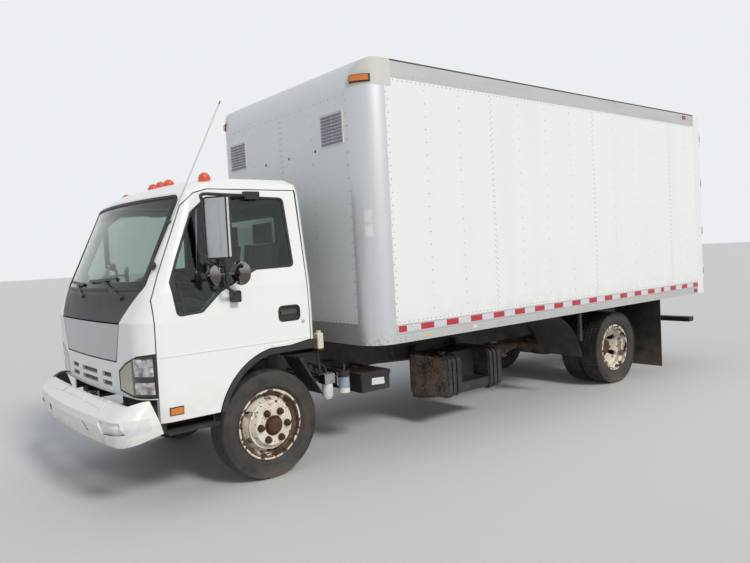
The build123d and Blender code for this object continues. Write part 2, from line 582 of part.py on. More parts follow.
# Engine with gearbox, drive shaft and exhaust
ENGINE_FRONT_Y = -560
ENGINE_REAR_Y = 430
ENGINE_HALF_WIDTH = 240
GEARBOX_HALF_WIDTH = 150
GEARBOX_REAR_Y = 1050
MOUNT_BASE_Z = FRAME_TOP_Z - 80
MOUNT_TOP_Z = FRAME_TOP_Z - 20
engine = block(-ENGINE_HALF_WIDTH, ENGINE_HALF_WIDTH, ENGINE_FRONT_Y, ENGINE_REAR_Y, 460, 930)
engine += block(-GEARBOX_HALF_WIDTH, GEARBOX_HALF_WIDTH, ENGINE_REAR_Y, GEARBOX_REAR_Y, 480, 720)
for side in (1, -1):
    engine += block(side * ENGINE_HALF_WIDTH, side * WEB_INNER_X, -200, -120, MOUNT_BASE_Z, MOUNT_TOP_Z)
save("engine", engine)

PINION_FRONT_Y = WHEELBASE - NOSE_LENGTH
shaft = rod((0, GEARBOX_REAR_Y - 50, 603), (0, PINION_FRONT_Y + 50, AXLE_Z - 3), SHAFT_RADIUS)
save("drive_shaft", shaft & block(-100, 100, GEARBOX_REAR_Y, PINION_FRONT_Y, 300, 800))

MUFFLER_X = -560
muffler = Pos(MUFFLER_X, 1500, 520) * Rot(90, 0, 0) * Cylinder(110, 700)
exhaust = muffler + rod((MUFFLER_X, 1850, 520), (MUFFLER_X, 2500, 520), 35)
exhaust += rod((MUFFLER_X, 2500, 520), (-1050, 2800, 480), 35)
exhaust += rod((MUFFLER_X, 700, 520), (MUFFLER_X, 1160, 520), 35)
exhaust += block(MUFFLER_X - 20, -HALF_FRAME, 1480, 1520, 620, 660)
save("exhaust", exhaust)

# Fuel tank: a moulded box on the frame's brackets, with three ribs round each end and a step between them
TANK_STEP_Z = 400
TANK_STEP_X = 800
TANK_FRONT_BAND = 205
TANK_REAR_BAND = 190
TANK_CORNER = 70
TANK_RIB_WIDTH = 36
TANK_RIB_PITCH = 56
TANK_RIB_HEIGHT = 12
TANK_RIB_EDGE = 30
TANK_CAP_RADIUS = 38


def tank_section(inset):
    """The tank seen from the front, drawn in on all sides but the one that faces the rail."""
    outer, low, high = TANK_OUTER_X - inset, TANK_BASE_Z + inset, TANK_TOP_Z - inset
    face = outline(((TANK_INNER_X, low), (outer, low), (outer, high), (TANK_INNER_X, high)))
    return fillet(face.vertices().group_by(Axis.X)[-1], TANK_CORNER - inset)


tank = front_prism(tank_section(TANK_RIB_HEIGHT), TANK_FRONT_Y, TANK_REAR_Y)
rib_starts = [TANK_FRONT_Y + TANK_RIB_EDGE + TANK_RIB_PITCH * k for k in range(3)]
rib_starts += [TANK_REAR_Y - TANK_RIB_EDGE - TANK_RIB_WIDTH - TANK_RIB_PITCH * k for k in range(3)]
for y in rib_starts:
    tank += front_prism(tank_section(0), y, y + TANK_RIB_WIDTH)
tank -= block(TANK_STEP_X, TANK_OUTER_X + 1, TANK_FRONT_Y + TANK_FRONT_BAND, TANK_REAR_Y - TANK_REAR_BAND,
              TANK_STEP_Z, TANK_TOP_Z + 1)
cap_place = Pos(TANK_STEP_X + 40, TANK_FRONT_Y + TANK_FRONT_BAND / 2, TANK_TOP_Z + 6)
tank += cap_place * Cylinder(TANK_CAP_RADIUS, 40)
save("fuel_tank", tank)

# Battery box with its lid, on two arms from the left rail
BATTERY_BASE_Z = 476
BATTERY_LID_Z = 598
BATTERY_TOP_Z = 635
BATTERY_FRONT_Y = 885
BATTERY_REAR_Y = 1210
BATTERY_OUTER_X = 900
BATTERY_INNER_X = 560
BATTERY_CORNER = 20
LID_LIP = 8
battery_box = block(BATTERY_INNER_X, BATTERY_OUTER_X - LID_LIP, BATTERY_FRONT_Y + LID_LIP,
                    BATTERY_REAR_Y - LID_LIP, BATTERY_BASE_Z, BATTERY_LID_Z)
battery_lid = block(BATTERY_INNER_X - LID_LIP, BATTERY_OUTER_X, BATTERY_FRONT_Y, BATTERY_REAR_Y,
                    BATTERY_LID_Z, BATTERY_TOP_Z)
battery_box = fillet(battery_box.edges().filter_by(Axis.Z), BATTERY_CORNER)
battery_box += fillet(battery_lid.edges().filter_by(Axis.Z), BATTERY_CORNER + 4)
arm_base_z = BATTERY_BASE_Z - 10
for y in (BATTERY_FRONT_Y + 60, BATTERY_REAR_Y - 60):
    battery_box += block(HALF_FRAME, BATTERY_INNER_X + 60, y - 20, y + 20, BATTERY_TOP_Z, BATTERY_TOP_Z + 14)
    battery_box += block(HALF_FRAME, BATTERY_OUTER_X - 40, y - 20, y + 20, arm_base_z, BATTERY_BASE_Z)
    battery_box += block(HALF_FRAME, HALF_FRAME + 14, y - 20, y + 20, arm_base_z, FRAME_BASE_Z + 60)
save("battery_box", battery_box)

# Air dryer, fuel filter and coolant bottle, each on its bracket behind the cab
CANISTER_X = 850
CANISTER_Y = 572
FILTER_Y = 740
BOTTLE_X = 895
BOTTLE_Y = 484
dryer = Pos(CANISTER_X, CANISTER_Y, 559) * Cylinder(44, 108)
dryer += Pos(CANISTER_X, CANISTER_Y, 497) * Cylinder(34, 18)
dryer += block(CANISTER_X - 50, CANISTER_X + 48, CANISTER_Y - 52, CANISTER_Y + 45, 613, 690)
dryer += block(HALF_FRAME, CANISTER_X - 50, CANISTER_Y - 25, CANISTER_Y + 25, 640, 660)
fuel_filter = Pos(CANISTER_X, FILTER_Y, 575) * Cylinder(46, 130)
fuel_filter += Pos(CANISTER_X, FILTER_Y, 665) * Cylinder(52, 50)
fuel_filter += block(HALF_FRAME, CANISTER_X, FILTER_Y - 20, FILTER_Y + 20, 672, 690)
bottle = block(BOTTLE_X - 35, BOTTLE_X + 30, BOTTLE_Y - 28, BOTTLE_Y + 28, 905, 1030)
bottle = fillet(bottle.edges(), 10) + Pos(BOTTLE_X, BOTTLE_Y, 1035) * Cylinder(20, 24)
bottle += block(BOTTLE_X - 40, BOTTLE_X + 30, BOTTLE_Y - 30, BOTTLE_Y + 30, 893, 905)
bottle += rod((BOTTLE_X - 15, BOTTLE_Y - 15, 896), (BOTTLE_X - 15, BOTTLE_Y + 6, 700), 11)
bottle += block(HALF_FRAME, BOTTLE_X, BOTTLE_Y - 20, BOTTLE_Y + 25, 694, 706)
save("reservoirs", dryer, fuel_filter, bottle)

# Van body floor: cross beams on two long sills, with a deck on top
deck_base_z = BOX_DECK_Z - BOX_DECK_THICKNESS
sill_top_z = BOX_BASE_Z
sills = None
for side in (1, -1):
    sill = block(side * (HALF_FRAME - RAIL_FLANGE), side * HALF_FRAME, BOX_FRONT_Y + 60, FRAME_REAR_Y,
                 FRAME_TOP_Z, sill_top_z)
    sills = sill if sills is None else sills + sill
beam_count = int((BOX_LENGTH - 240) / CROSS_BEAM_PITCH)
cross_beams = []
for k in range(beam_count + 1):
    y = BOX_FRONT_Y + 100 + CROSS_BEAM_PITCH * k
    cross_beams.append(block(-HALF_BOX + LOWER_RAIL_DEPTH, HALF_BOX - LOWER_RAIL_DEPTH,
                             y, y + CROSS_BEAM_WIDTH, sill_top_z, deck_base_z))

inner_half = HALF_BOX - BOX_WALL
deck = block(-inner_half, inner_half, BOX_FRONT_Y + BOX_WALL, BOX_REAR_Y - REAR_POST_DEPTH,
             deck_base_z, BOX_DECK_Z)


# Van body envelope: a plan with two round front corners, under a round nose and a bowed roof
def box_envelope(inset):
    """The closed outer form of the body, drawn in by an inset, from the lower rail to the roof."""
    half = HALF_BOX - inset
    front = BOX_FRONT_Y + inset
    plan = outline(((-half, front), (half, front), (half, BOX_REAR_Y), (-half, BOX_REAR_Y)))
    plan = fillet(plan.vertices().group_by(Axis.Y)[0], BOX_POST_RADIUS - inset)
    top = BOX_TOP_Z - inset
    column = top_prism(plan, BOX_BASE_Z, top + BOX_ROOF_RISE + 1)
    roof_arc = ThreePointArc((half + 1, top), (0, top + BOX_ROOF_RISE), (-half - 1, top))
    under = Polyline((-half - 1, top), (-half - 1, BOX_BASE_Z - 1), (half + 1, BOX_BASE_Z - 1),
                     (half + 1, top))
    bowed = front_prism(make_face([roof_arc, under]), front - 1, BOX_REAR_Y + 1)
    side = outline(((front, BOX_BASE_Z - 1), (BOX_REAR_Y + 1, BOX_BASE_Z - 1),
                    (BOX_REAR_Y + 1, top + BOX_ROOF_RISE), (front, top + BOX_ROOF_RISE)))
    side = fillet(side.vertices().sort_by(Axis.X)[:2].sort_by(Axis.Y)[-1], BOX_NOSE_RADIUS - inset)
    return column & bowed & side_prism(side, -half - 1, half + 1)


outer_box = box_envelope(0)
inner_box = box_envelope(BOX_WALL)
walls = outer_box - inner_box
for beam in cross_beams:
    sills += beam & inner_box
save("box_cross_beams", sills)
save("box_deck", deck & inner_box)
nose_z = BOX_TOP_Z + BOX_ROOF_RISE - BOX_NOSE_RADIUS
post_x = HALF_BOX - BOX_POST_RADIUS
post_y = BOX_FRONT_Y + BOX_POST_RADIUS
nose_y = BOX_FRONT_Y + BOX_NOSE_RADIUS
top_rail_base_z = BOX_TOP_Z - TOP_RAIL_HEIGHT
seam_x = post_x + BOX_SEAM_STEP
seam_z = nose_z + BOX_SEAM_STEP
rear_y = BOX_REAR_Y - REAR_POST_DEPTH
rail_top_z = BOX_BASE_Z + LOWER_RAIL_HEIGHT

# Front wall with two vents, each a riveted frame with two columns of louvres
VENT_COLUMNS = (660, 805)
LOUVRE_COUNT = 9
LOUVRE_PITCH = 27
LOUVRE_WIDTH = 130
LOUVRE_HEIGHT = 14
front_wall = block(-seam_x, seam_x, BOX_FRONT_Y, BOX_FRONT_Y + BOX_WALL, BOX_BASE_Z, seam_z)
for side in (1, -1):
    front_wall += block(side * 645, side * 951, BOX_FRONT_Y - 8, BOX_FRONT_Y, 2523, 2790)
    for column in VENT_COLUMNS:
        for k in range(LOUVRE_COUNT):
            z = 2540 + LOUVRE_PITCH * k
            front_wall += block(side * column, side * (column + LOUVRE_WIDTH), BOX_FRONT_Y - 16,
                                BOX_FRONT_Y - 8, z, z + LOUVRE_HEIGHT)
save("box_front_wall", front_wall)


def roof_bow(inset, rear):
    """Everything under the bowed roof, from the front to a place along the truck."""
    half = HALF_BOX - inset + 1
    low = BOX_TOP_Z - inset
    roof_arc = ThreePointArc((half, low), (0, low + BOX_ROOF_RISE), (-half, low))
    under = Polyline((-half, low), (-half, 0), (half, 0), (half, low))
    return front_prism(make_face([roof_arc, under]), 0, rear)


def nose_roll(inset):
    """The round nose over the body's whole width, up to where the roof begins."""
    roll = Pos(0, nose_y, nose_z) * Rot(0, 90, 0) * Cylinder(BOX_NOSE_RADIUS - inset, BOX_WIDTH + 20)
    return roll & block(-HALF_BOX - 5, HALF_BOX + 5, 0, nose_y, seam_z, BOX_TOP_Z + 200)


def corner_plan(inset, rear):
    """Plan of the left front corner: a round post, with a straight strip behind it."""
    radius = BOX_POST_RADIUS - inset
    disc = Pos(post_x, post_y) * Circle(radius)
    strip = Pos(post_x + radius / 2, (post_y + nose_y) / 2) * Rectangle(radius, nose_y - post_y)
    quarter = Pos(seam_x + BOX_WIDTH / 2, rear - BOX_WIDTH / 2) * Rectangle(BOX_WIDTH, BOX_WIDTH)
    return (disc + strip) & quarter


def corner_form(inset):
    """The corner where the post's round, the nose's round and the bowed roof meet."""
    column = top_prism(corner_plan(inset, nose_y), seam_z, BOX_TOP_Z + BOX_ROOF_RISE)
    return column & nose_roll(inset) & roof_bow(inset, nose_y)


middle = block(-seam_x, seam_x, 0, nose_y, seam_z, BOX_TOP_Z + 200)
nose = (nose_roll(0) & roof_bow(0, nose_y)) - (nose_roll(BOX_WALL) & roof_bow(BOX_WALL, nose_y))
save("box_nose", nose & middle)
post = top_prism(corner_plan(0, post_y) - corner_plan(BOX_WALL, post_y), BOX_BASE_Z, seam_z)
cap = corner_form(0) - corner_form(BOX_WALL)
save("box_corner_posts", post, flipped(post))
save("box_corner_caps", cap, flipped(cap))
LOWER_RAIL_GROOVE_Z = BOX_BASE_Z + 58
LOWER_RAIL_GROOVE = 4
rail_inner_x = HALF_BOX - LOWER_RAIL_DEPTH
rail_section = outline(((HALF_BOX, BOX_BASE_Z), (HALF_BOX, LOWER_RAIL_GROOVE_Z),
                        (HALF_BOX - LOWER_RAIL_GROOVE, LOWER_RAIL_GROOVE_Z + LOWER_RAIL_GROOVE),
                        (HALF_BOX - LOWER_RAIL_GROOVE, LOWER_RAIL_GROOVE_Z + 3 * LOWER_RAIL_GROOVE),
                        (HALF_BOX, LOWER_RAIL_GROOVE_Z + 4 * LOWER_RAIL_GROOVE), (HALF_BOX, rail_top_z),
                        (inner_half, rail_top_z), (inner_half, deck_base_z), (rail_inner_x, deck_base_z),
                        (rail_inner_x, BOX_BASE_Z)))
lower_rail = front_prism(rail_section, post_y, rear_y)
lower_rails = [lower_rail, flipped(lower_rail)]
side_walls = []
top_rails = []
for side in (1, -1):
    outer = side * (HALF_BOX + 1)
    inner = side * (HALF_BOX - BOX_WALL - 1)
    rear_half = walls & block(inner, outer, post_y, rear_y, rail_top_z, seam_z)
    upper = walls & block(inner, outer, nose_y, rear_y, seam_z, top_rail_base_z)
    side_walls.append(rear_half + upper)
    top_rails.append(walls & block(inner, outer, nose_y, rear_y, top_rail_base_z, BOX_TOP_Z + 30))
save("box_side_walls", *side_walls)
save("box_rails", *lower_rails, *top_rails)
roof_inner = block(-inner_half + 1, inner_half - 1, nose_y, rear_y, top_rail_base_z, BOX_TOP_Z + 200)
save("box_roof", walls & roof_inner)

# Rear frame, swing doors, mudguards and step
frame_out = block(-HALF_BOX, HALF_BOX, rear_y, BOX_REAR_Y, BOX_BASE_Z, BOX_TOP_Z + BOX_ROOF_RISE) & outer_box
DOORWAY_BASE_Z = BOX_DECK_Z
DOORWAY_TOP_Z = top_rail_base_z
doorway_half = HALF_BOX - REAR_POST_WIDTH
frame_out -= block(-doorway_half, doorway_half, rear_y - 1, BOX_REAR_Y + 1, DOORWAY_BASE_Z, DOORWAY_TOP_Z)

HINGE_RADIUS = 12
HINGE_PIN_RADIUS = 6
HINGE_HEIGHT = 80
HINGE_X = HALF_BOX - 8
HINGE_Y = BOX_REAR_Y + 16
DOOR_GAP = 8
DOOR_PROUD = 4
HINGE_HEIGHTS = (DOORWAY_BASE_Z + 150, 1700, 2300, DOORWAY_TOP_Z - 150)
for side in (1, -1):
    for z in HINGE_HEIGHTS:
        for low, high in ((z - HINGE_HEIGHT / 2 - 35, z - HINGE_HEIGHT / 2 - 5),
                          (z + HINGE_HEIGHT / 2 + 5, z + HINGE_HEIGHT / 2 + 35)):
            frame_out += rod((side * HINGE_X, HINGE_Y, low), (side * HINGE_X, HINGE_Y, high), HINGE_RADIUS)
            frame_out += block(side * (HINGE_X - HINGE_RADIUS), side * (HINGE_X + HINGE_RADIUS),
                               BOX_REAR_Y, HINGE_Y, low, high)
        frame_out += rod((side * HINGE_X, HINGE_Y, z - HINGE_HEIGHT / 2 - 10),
                         (side * HINGE_X, HINGE_Y, z + HINGE_HEIGHT / 2 + 10), HINGE_PIN_RADIUS)
save("box_rear_frame", frame_out)


def rear_door(side):
    """One door leaf with its lock bar and hinge straps."""
    face_y = BOX_REAR_Y + DOOR_PROUD
    leaf = block(side * (doorway_half - DOOR_GAP), side * DOOR_GAP, face_y - REAR_DOOR_THICKNESS, face_y,
                 DOORWAY_BASE_Z + DOOR_GAP, DOORWAY_TOP_Z - DOOR_GAP)
    bar_x = side * 180
    leaf += rod((bar_x, face_y + 22, DOORWAY_BASE_Z + 20), (bar_x, face_y + 22, DOORWAY_TOP_Z - 20), 14)
    for z in (DOORWAY_BASE_Z + 80, 1500, 2300, DOORWAY_TOP_Z - 80):
        leaf += block(bar_x - 30, bar_x + 30, face_y, face_y + 22, z - 30, z + 30)
    leaf += block(bar_x - side * 14, bar_x + side * 300, face_y + 16, face_y + 28, 1382, 1418)
    leaf += block(bar_x + side * 240, bar_x + side * 290, face_y, face_y + 16, 1370, 1430)
    for z in HINGE_HEIGHTS:
        low, high = z - HINGE_HEIGHT / 2, z + HINGE_HEIGHT / 2
        leaf += rod((side * HINGE_X, HINGE_Y, low), (side * HINGE_X, HINGE_Y, high), HINGE_RADIUS)
        leaf += block(side * (doorway_half - 200), side * HINGE_X, face_y, face_y + 8, low + 15, high - 15)
        leaf -= rod((side * HINGE_X, HINGE_Y, low - 1), (side * HINGE_X, HINGE_Y, high + 1),
                    HINGE_PIN_RADIUS + PIN_CLEARANCE)
    return leaf


save("left_rear_door", rear_door(1))
save("right_rear_door", rear_door(-1))

STEP_Z = 540
STEP_HALF_WIDTH = 1048
step_side = outline(((BOX_REAR_Y - 60, STEP_Z - 30), (STEP_REAR_Y - 18, STEP_Z - 30),
                     (STEP_REAR_Y, STEP_Z - 12), (STEP_REAR_Y, STEP_Z + 30), (BOX_REAR_Y - 60, STEP_Z + 30)))
step_bar = side_prism(step_side, -STEP_HALF_WIDTH, STEP_HALF_WIDTH)
for side in (1, -1):
    hanger = outline(((side * 360, STEP_Z), (side * (HALF_FRAME + 60), STEP_Z),
                      (side * (HALF_FRAME + 30), BOX_BASE_Z), (side * 380, BOX_BASE_Z)))
    step_bar += front_prism(hanger, BOX_REAR_Y - 60, BOX_REAR_Y - 20)
save("rear_step", step_bar)

# Mud flaps behind the rear wheels, curved guards and posts ahead of them, guards behind the front wheels
FLAP_Y = WHEELBASE + 750
FLAP_THICKNESS = 12
GUARD_OUTER_X = 1150
GUARD_INNER_X = 620
GUARD_TOP = (3256, 890)
GUARD_MIDDLE = (3570, 621)
GUARD_FOOT = (3650, 421)
GUARD_THICKNESS = 8
GUARD_BRACKET_Y = 3347
GUARD_POST_X = 1172
GUARD_POST_Y = 3560
GUARD_POST_DEPTH = 28
GUARD_POST_WIDTH = 40
GUARD_POST_BASE_Z = 600
FRONT_GUARD_TOP = (275, 858)
FRONT_GUARD_FOOT = (470, 551)
mudguards = []
for side in (1, -1):
    mudguards.append(block(side * 600, side * 1200, FLAP_Y, FLAP_Y + FLAP_THICKNESS, 90, sill_top_z))
    front_edge = [(y - GUARD_THICKNESS, z) for y, z in (GUARD_TOP, GUARD_MIDDLE, GUARD_FOOT)]
    guard_side = make_face([ThreePointArc(GUARD_TOP, GUARD_MIDDLE, GUARD_FOOT),
                            Line(GUARD_FOOT, front_edge[2]),
                            ThreePointArc(*reversed(front_edge)), Line(front_edge[0], GUARD_TOP)])
    guard = side_prism(guard_side, side * GUARD_INNER_X, side * GUARD_OUTER_X)
    guard += block(side * GUARD_INNER_X, side * GUARD_OUTER_X, GUARD_TOP[0] - GUARD_THICKNESS,
                   GUARD_BRACKET_Y, GUARD_TOP[1] - 4, sill_top_z)
    mudguards.append(guard)
    mudguards.append(block(side * GUARD_POST_X, side * (GUARD_POST_X + GUARD_POST_DEPTH), GUARD_POST_Y,
                           GUARD_POST_Y + GUARD_POST_WIDTH, GUARD_POST_BASE_Z, sill_top_z))
    front_side = outline((FRONT_GUARD_TOP, FRONT_GUARD_FOOT,
                          (FRONT_GUARD_FOOT[0] + 8, FRONT_GUARD_FOOT[1] + 4),
                          (FRONT_GUARD_TOP[0] + 40, FRONT_GUARD_TOP[1] - 30),
                          (FRONT_GUARD_TOP[0] + 40, FRONT_GUARD_TOP[1])))
    front_guard = side_prism(front_side, side * 690, side * 925)
    arm_y = (FRONT_GUARD_TOP[0] + FRONT_GUARD_FOOT[0]) / 2
    front_guard += block(side * (HALF_FRAME + CAB_REST_PLATE), side * 700, arm_y - 8, arm_y + 22, 690, 708)
    mudguards.append(front_guard)
save("mudguards", *mudguards)

# Cab shell, as plan outlines at a few heights
CAB_LEVELS = (
    # height, half width, front, crown radius, front corner radius
    (CAB_SIDE_BASE_Z, HALF_CAB - 6, -985, 9000, 190),
    (740, HALF_CAB, -992, 9000, 200),
    (1253, HALF_CAB, -1005, 9000, 200),
    (1440, HALF_CAB - 10, -1000, 3200, 170),
    (2120, HALF_CAB - 108, -695, 2850, 90),
)
ROOF_LEVELS = (
    # height, half width, front, crown radius, front corner radius
    (2120, HALF_CAB - 108, -695, 2850, 90),
    (2190, HALF_CAB - 130, -580, 2500, 110),
    (2228, HALF_CAB - 190, -440, 2500, 140),
    (CAB_TOP_Z, HALF_CAB - 400, -250, 2500, 160),
)
ROOF_BACK_STEP = (0, 12, 60, 200)


def cab_plan(z, half, front, crown, corner, back, inset, front_inset):
    """One plan outline of the cab, drawn in by the insets."""
    half -= inset
    front += front_inset
    edge = front + half * half / (2 * crown)
    arc = ThreePointArc((half, edge), (0, front), (-half, edge))
    rest = Polyline((-half, edge), (-half, back - inset), (half, back - inset), (half, edge))
    face = make_face([arc, rest])
    face = fillet(face.vertices().group_by(Axis.Y)[0], max(corner - inset, 20))
    face = fillet(face.vertices().group_by(Axis.Y)[-1], max(BACK_CORNER_RADIUS - inset, 20))
    return Pos(0, 0, z) * face


def cab_shape(inset, front_inset=None):
    """The cab's closed form, drawn in by the inset, on the same base."""
    insets = (inset, inset if front_inset is None else front_inset)
    lower = loft([cab_plan(*level, CAB_BACK_Y, *insets) for level in CAB_LEVELS], ruled=True)
    roof = Pos(0, 0, -inset) * loft([cab_plan(*level, CAB_BACK_Y - step, *insets)
                                     for level, step in zip(ROOF_LEVELS, ROOF_BACK_STEP)], ruled=True)
    return (lower & block(-2000, 2000, -2000, 2000, 0, ROOF_LEVELS[0][0] - inset)) + roof


def arch_line(inset):
    """The wheel arch seen from the side, drawn in by an inset: a level top, then a curve down to the step."""
    top_z = ARCH_TOP_Z - inset
    bend = (ARCH_BEND_Y, top_z)
    middle = (-258 + 0.7 * inset, 868 - 0.7 * inset)
    foot = (ARCH_FOOT_Y + 0.9 * inset, CAB_SIDE_BASE_Z + 6)
    return [Line((CAB_BACK_Y, top_z), bend), ThreePointArc(bend, middle, foot)]


DOOR_OUTLINE = (
    # place along the truck, height, from the foot of the arch round the front and the top
    (ARCH_FOOT_Y, CAB_SIDE_BASE_Z + 6), (DOOR_FRONT_Y, CAB_SIDE_BASE_Z + 6), (DOOR_FRONT_Y, 1400),
    (-782, 1569), (-581, 2026), (-487, 2110), (-380, DOOR_TOP_Z), (DOOR_REAR_Y - DOOR_TOP_STEP, DOOR_TOP_Z),
    (DOOR_REAR_Y, 1400), (DOOR_REAR_Y, 1010), (150, ARCH_TOP_Z), (ARCH_BEND_Y, ARCH_TOP_Z),
)
DOOR_WINDOW = (
    # place along the truck, height
    (234, 1575), (-78, 1569), (-376, 1430), (-521, 1302), (-690, 1290), (-722, 1511), (-658, 1671),
    (-522, 1972), (-395, 2077), (-174, 2087), (216, 2076),
)
FRONT_EDGES = ((760, 545), (976, 586), (1253, 683), (1475, 865))


def front_panel_outline(z0, z1, gap=0):
    """The part of the cab's middle front between two heights, narrower towards its foot."""
    def half_at(z):
        for (low, x_low), (high, x_high) in zip(FRONT_EDGES, FRONT_EDGES[1:]):
            if low <= z <= high:
                return x_low + (x_high - x_low) * (z - low) / (high - low)
        return FRONT_EDGES[0][1]
    low_half = half_at(z0) - gap
    high_half = half_at(z1) - gap
    return outline(((-low_half, z0 + gap), (low_half, z0 + gap), (high_half, z1 - gap),
                    (-high_half, z1 - gap)))


cab_outer = cab_shape(0)
cab_inner = cab_shape(CAB_WALL)
cab_walls = cab_outer - cab_inner
door_face = make_face([Polyline(*DOOR_OUTLINE), arch_line(0)[1]])
door_gap_face = offset(door_face, SHUT_GAP, kind=Kind.INTERSECTION)
window_face = outline(DOOR_WINDOW, 30)
handle_pocket = outline(((82, 1174), (248, 1174), (248, 1269), (82, 1269)), 36)
handle_paddle = outline(((94, 1214), (236, 1214), (236, 1250), (94, 1250)), 15)
DOOR_INNER_X = 780
for side in (1, -1):
    cab_walls -= side_prism(door_gap_face, side * (DOOR_INNER_X - SHUT_GAP), side * (HALF_CAB + 50))
roof_z = DOOR_TOP_Z + SHUT_GAP
save("cab_roof", cab_walls & block(-2000, 2000, -2000, 2000, roof_z, 3000))
back_region = block(-2000, 2000, DOOR_REAR_Y + SHUT_GAP, 2000, ARCH_REAR_Z, roof_z)
REAR_WINDOW = outline(((-560, 1560), (560, 1560), (540, 1980), (-540, 1980)), 50)
rear_window_prism = front_prism(REAR_WINDOW, CAB_BACK_Y - 80, CAB_BACK_Y + 20)
save("cab_back_panel", (cab_walls & back_region) - rear_window_prism)

windshield_face = outline(((-862, 1478), (862, 1478), (846, 2092), (-846, 2092)), 40)
windshield_prism = front_prism(windshield_face, -1300, -300)
front_region = block(-2000, 2000, -2000, -380, CAB_NOSE_BASE_Z, roof_z)
middle_face = front_panel_outline(760, 976) + front_panel_outline(976, 1253) + front_panel_outline(1253, 1475)
middle_prism = front_prism(middle_face, -1300, -700)
LAMP_OUTLINE = ((605, 786), (605, 924), (720, 985), (880, 1040), (1010, 1058), (1010, 758), (800, 760))
lamp_prisms = [front_prism(outline(LAMP_OUTLINE), -1300, DOOR_FRONT_Y - SHUT_GAP)]
lamp_prisms.append(flipped(lamp_prisms[0]))
cab_front = (cab_walls & front_region) - windshield_prism - middle_prism
for prism in lamp_prisms:
    cab_front -= prism
lug_outer = HALF_FRAME + MOVING_CLEARANCE + TILT_LUG_THICKNESS
save("cab_front_frame", cab_front)
lamp_shell = cab_shape(2) - cab_inner
save("headlamps", *[lamp_shell & prism for prism in lamp_prisms])

glass_shell = cab_shape(GLASS_INSET) - cab_shape(GLASS_INSET + GLASS_THICKNESS)
save("cab_glass", glass_shell & windshield_prism, glass_shell & rear_window_prism)
thin_shell = cab_outer - cab_shape(25)
save("cowl_panel", thin_shell & front_prism(front_panel_outline(1253, 1475), -1300, -700))
lid_skin = (cab_outer - cab_shape(8)) & front_prism(front_panel_outline(976, 1253, LID_GAP), -1300, -700)
lid_frame = (cab_shape(7) - cab_shape(25)) & front_prism(
    front_panel_outline(976, 1253, 2.5 * LID_GAP), -1300, -700)
save("front_lid", lid_skin + lid_frame)
grille = thin_shell & front_prism(front_panel_outline(760, 976), -1300, -700)
GRILLE_SLOTS = (
    # middle, width
    (-375, 182), (0, 370), (375, 182),
)
GRILLE_ROWS = (817, 878)
GRILLE_SLOT_HEIGHT = 34
for z in GRILLE_ROWS:
    low, high = z - GRILLE_SLOT_HEIGHT / 2, z + GRILLE_SLOT_HEIGHT / 2
    for x, width in GRILLE_SLOTS:
        grille -= block(x - width / 2, x + width / 2, -1300, -700, low, high)
save("grille", grille)


# Doors: the outer shell within the shut line, with the window cut and the glass set in it
def door(side):
    near, far = side * DOOR_INNER_X, side * (HALF_CAB + 50)
    shell = cab_outer - cab_shape(DOOR_THICKNESS, DOOR_FRONT_THICKNESS)
    leaf = (shell & side_prism(door_face, near, far)) - side_prism(window_face, near, far)
    rear_strip = block(near, far, DOOR_REAR_Y - DOOR_REBATE, DOOR_REAR_Y + 1, 0, 3000)
    inner_edge = cab_shape(DOOR_FLANGE) & rear_strip
    floor_x = side * (HALF_CAB - HANDLE_POCKET_DEPTH)
    pocket = side_prism(handle_pocket, floor_x, far) - side_prism(handle_paddle, near, side * (HALF_CAB - 4))
    return leaf - inner_edge - pocket


def door_glass(side):
    near, far = side * DOOR_INNER_X, side * (HALF_CAB + 50)
    return glass_shell & side_prism(window_face, near, far)


left_door = door(1)
save("left_door", left_door)
save("right_door", flipped(left_door))
left_glass = door_glass(1)
save("left_door_glass", left_glass)
save("right_door_glass", flipped(left_glass))


# Door mirrors: a tall head with a bowed back and a framed glass, and two round mirrors, on a bent tube
MIRROR_AIM = 30
MIRROR_TUBE_RADIUS = 11
MIRROR_HEAD_HALF_WIDTH = 100
MIRROR_HEAD_BASE_Z = 1650
MIRROR_HEAD_TOP_Z = 2066
MIRROR_RIM = 8
MIRROR_TUBE_PATH = (
    (905, -50, 2098), (1020, -470, 2092), (1040, -492, 2060), (1044, -492, 1630), (1105, -385, 1592),
    (1105, -375, 1450), (1040, -285, 1400),
)
ROUND_MIRRORS = (
    # across, along, height, radius, turn outward
    (1120, -280, 1546, 84, 22),
    (1092, -470, 1540, 72, 12),
)


def mirror_head():
    """The tall head, drawn about its middle with the glass towards +Y."""
    half = MIRROR_HEAD_HALF_WIDTH
    back = ThreePointArc((half, -14), (0, -30), (-half, -14))
    plan = make_face([back, Polyline((-half, -14), (-half, 14), (half, 14), (half, -14))])
    head = extrude(plan, amount=MIRROR_HEAD_TOP_Z - MIRROR_HEAD_BASE_Z)
    glass = block(-half + MIRROR_RIM, half - MIRROR_RIM, 10, 15, MIRROR_RIM,
                  MIRROR_HEAD_TOP_Z - MIRROR_HEAD_BASE_Z - MIRROR_RIM)
    return fillet(head.edges().filter_by(Axis.Z), 6) - glass


def round_mirror(radius):
    """A dished round mirror, drawn about its rim with the glass towards +Y and a stalk behind."""
    section = make_face([ThreePointArc((0, -34), (radius * 0.6, -24), (radius, 0)),
                         Polyline((radius, 0), (radius, 8), (radius - 5, 8), (radius - 5, 3), (0, 3),
                                  (0, -34))])
    dish = revolve(section, Axis.Y)
    return dish + Pos(0, -40, 0) * Rot(90, 0, 0) * Cylinder(9, 30)


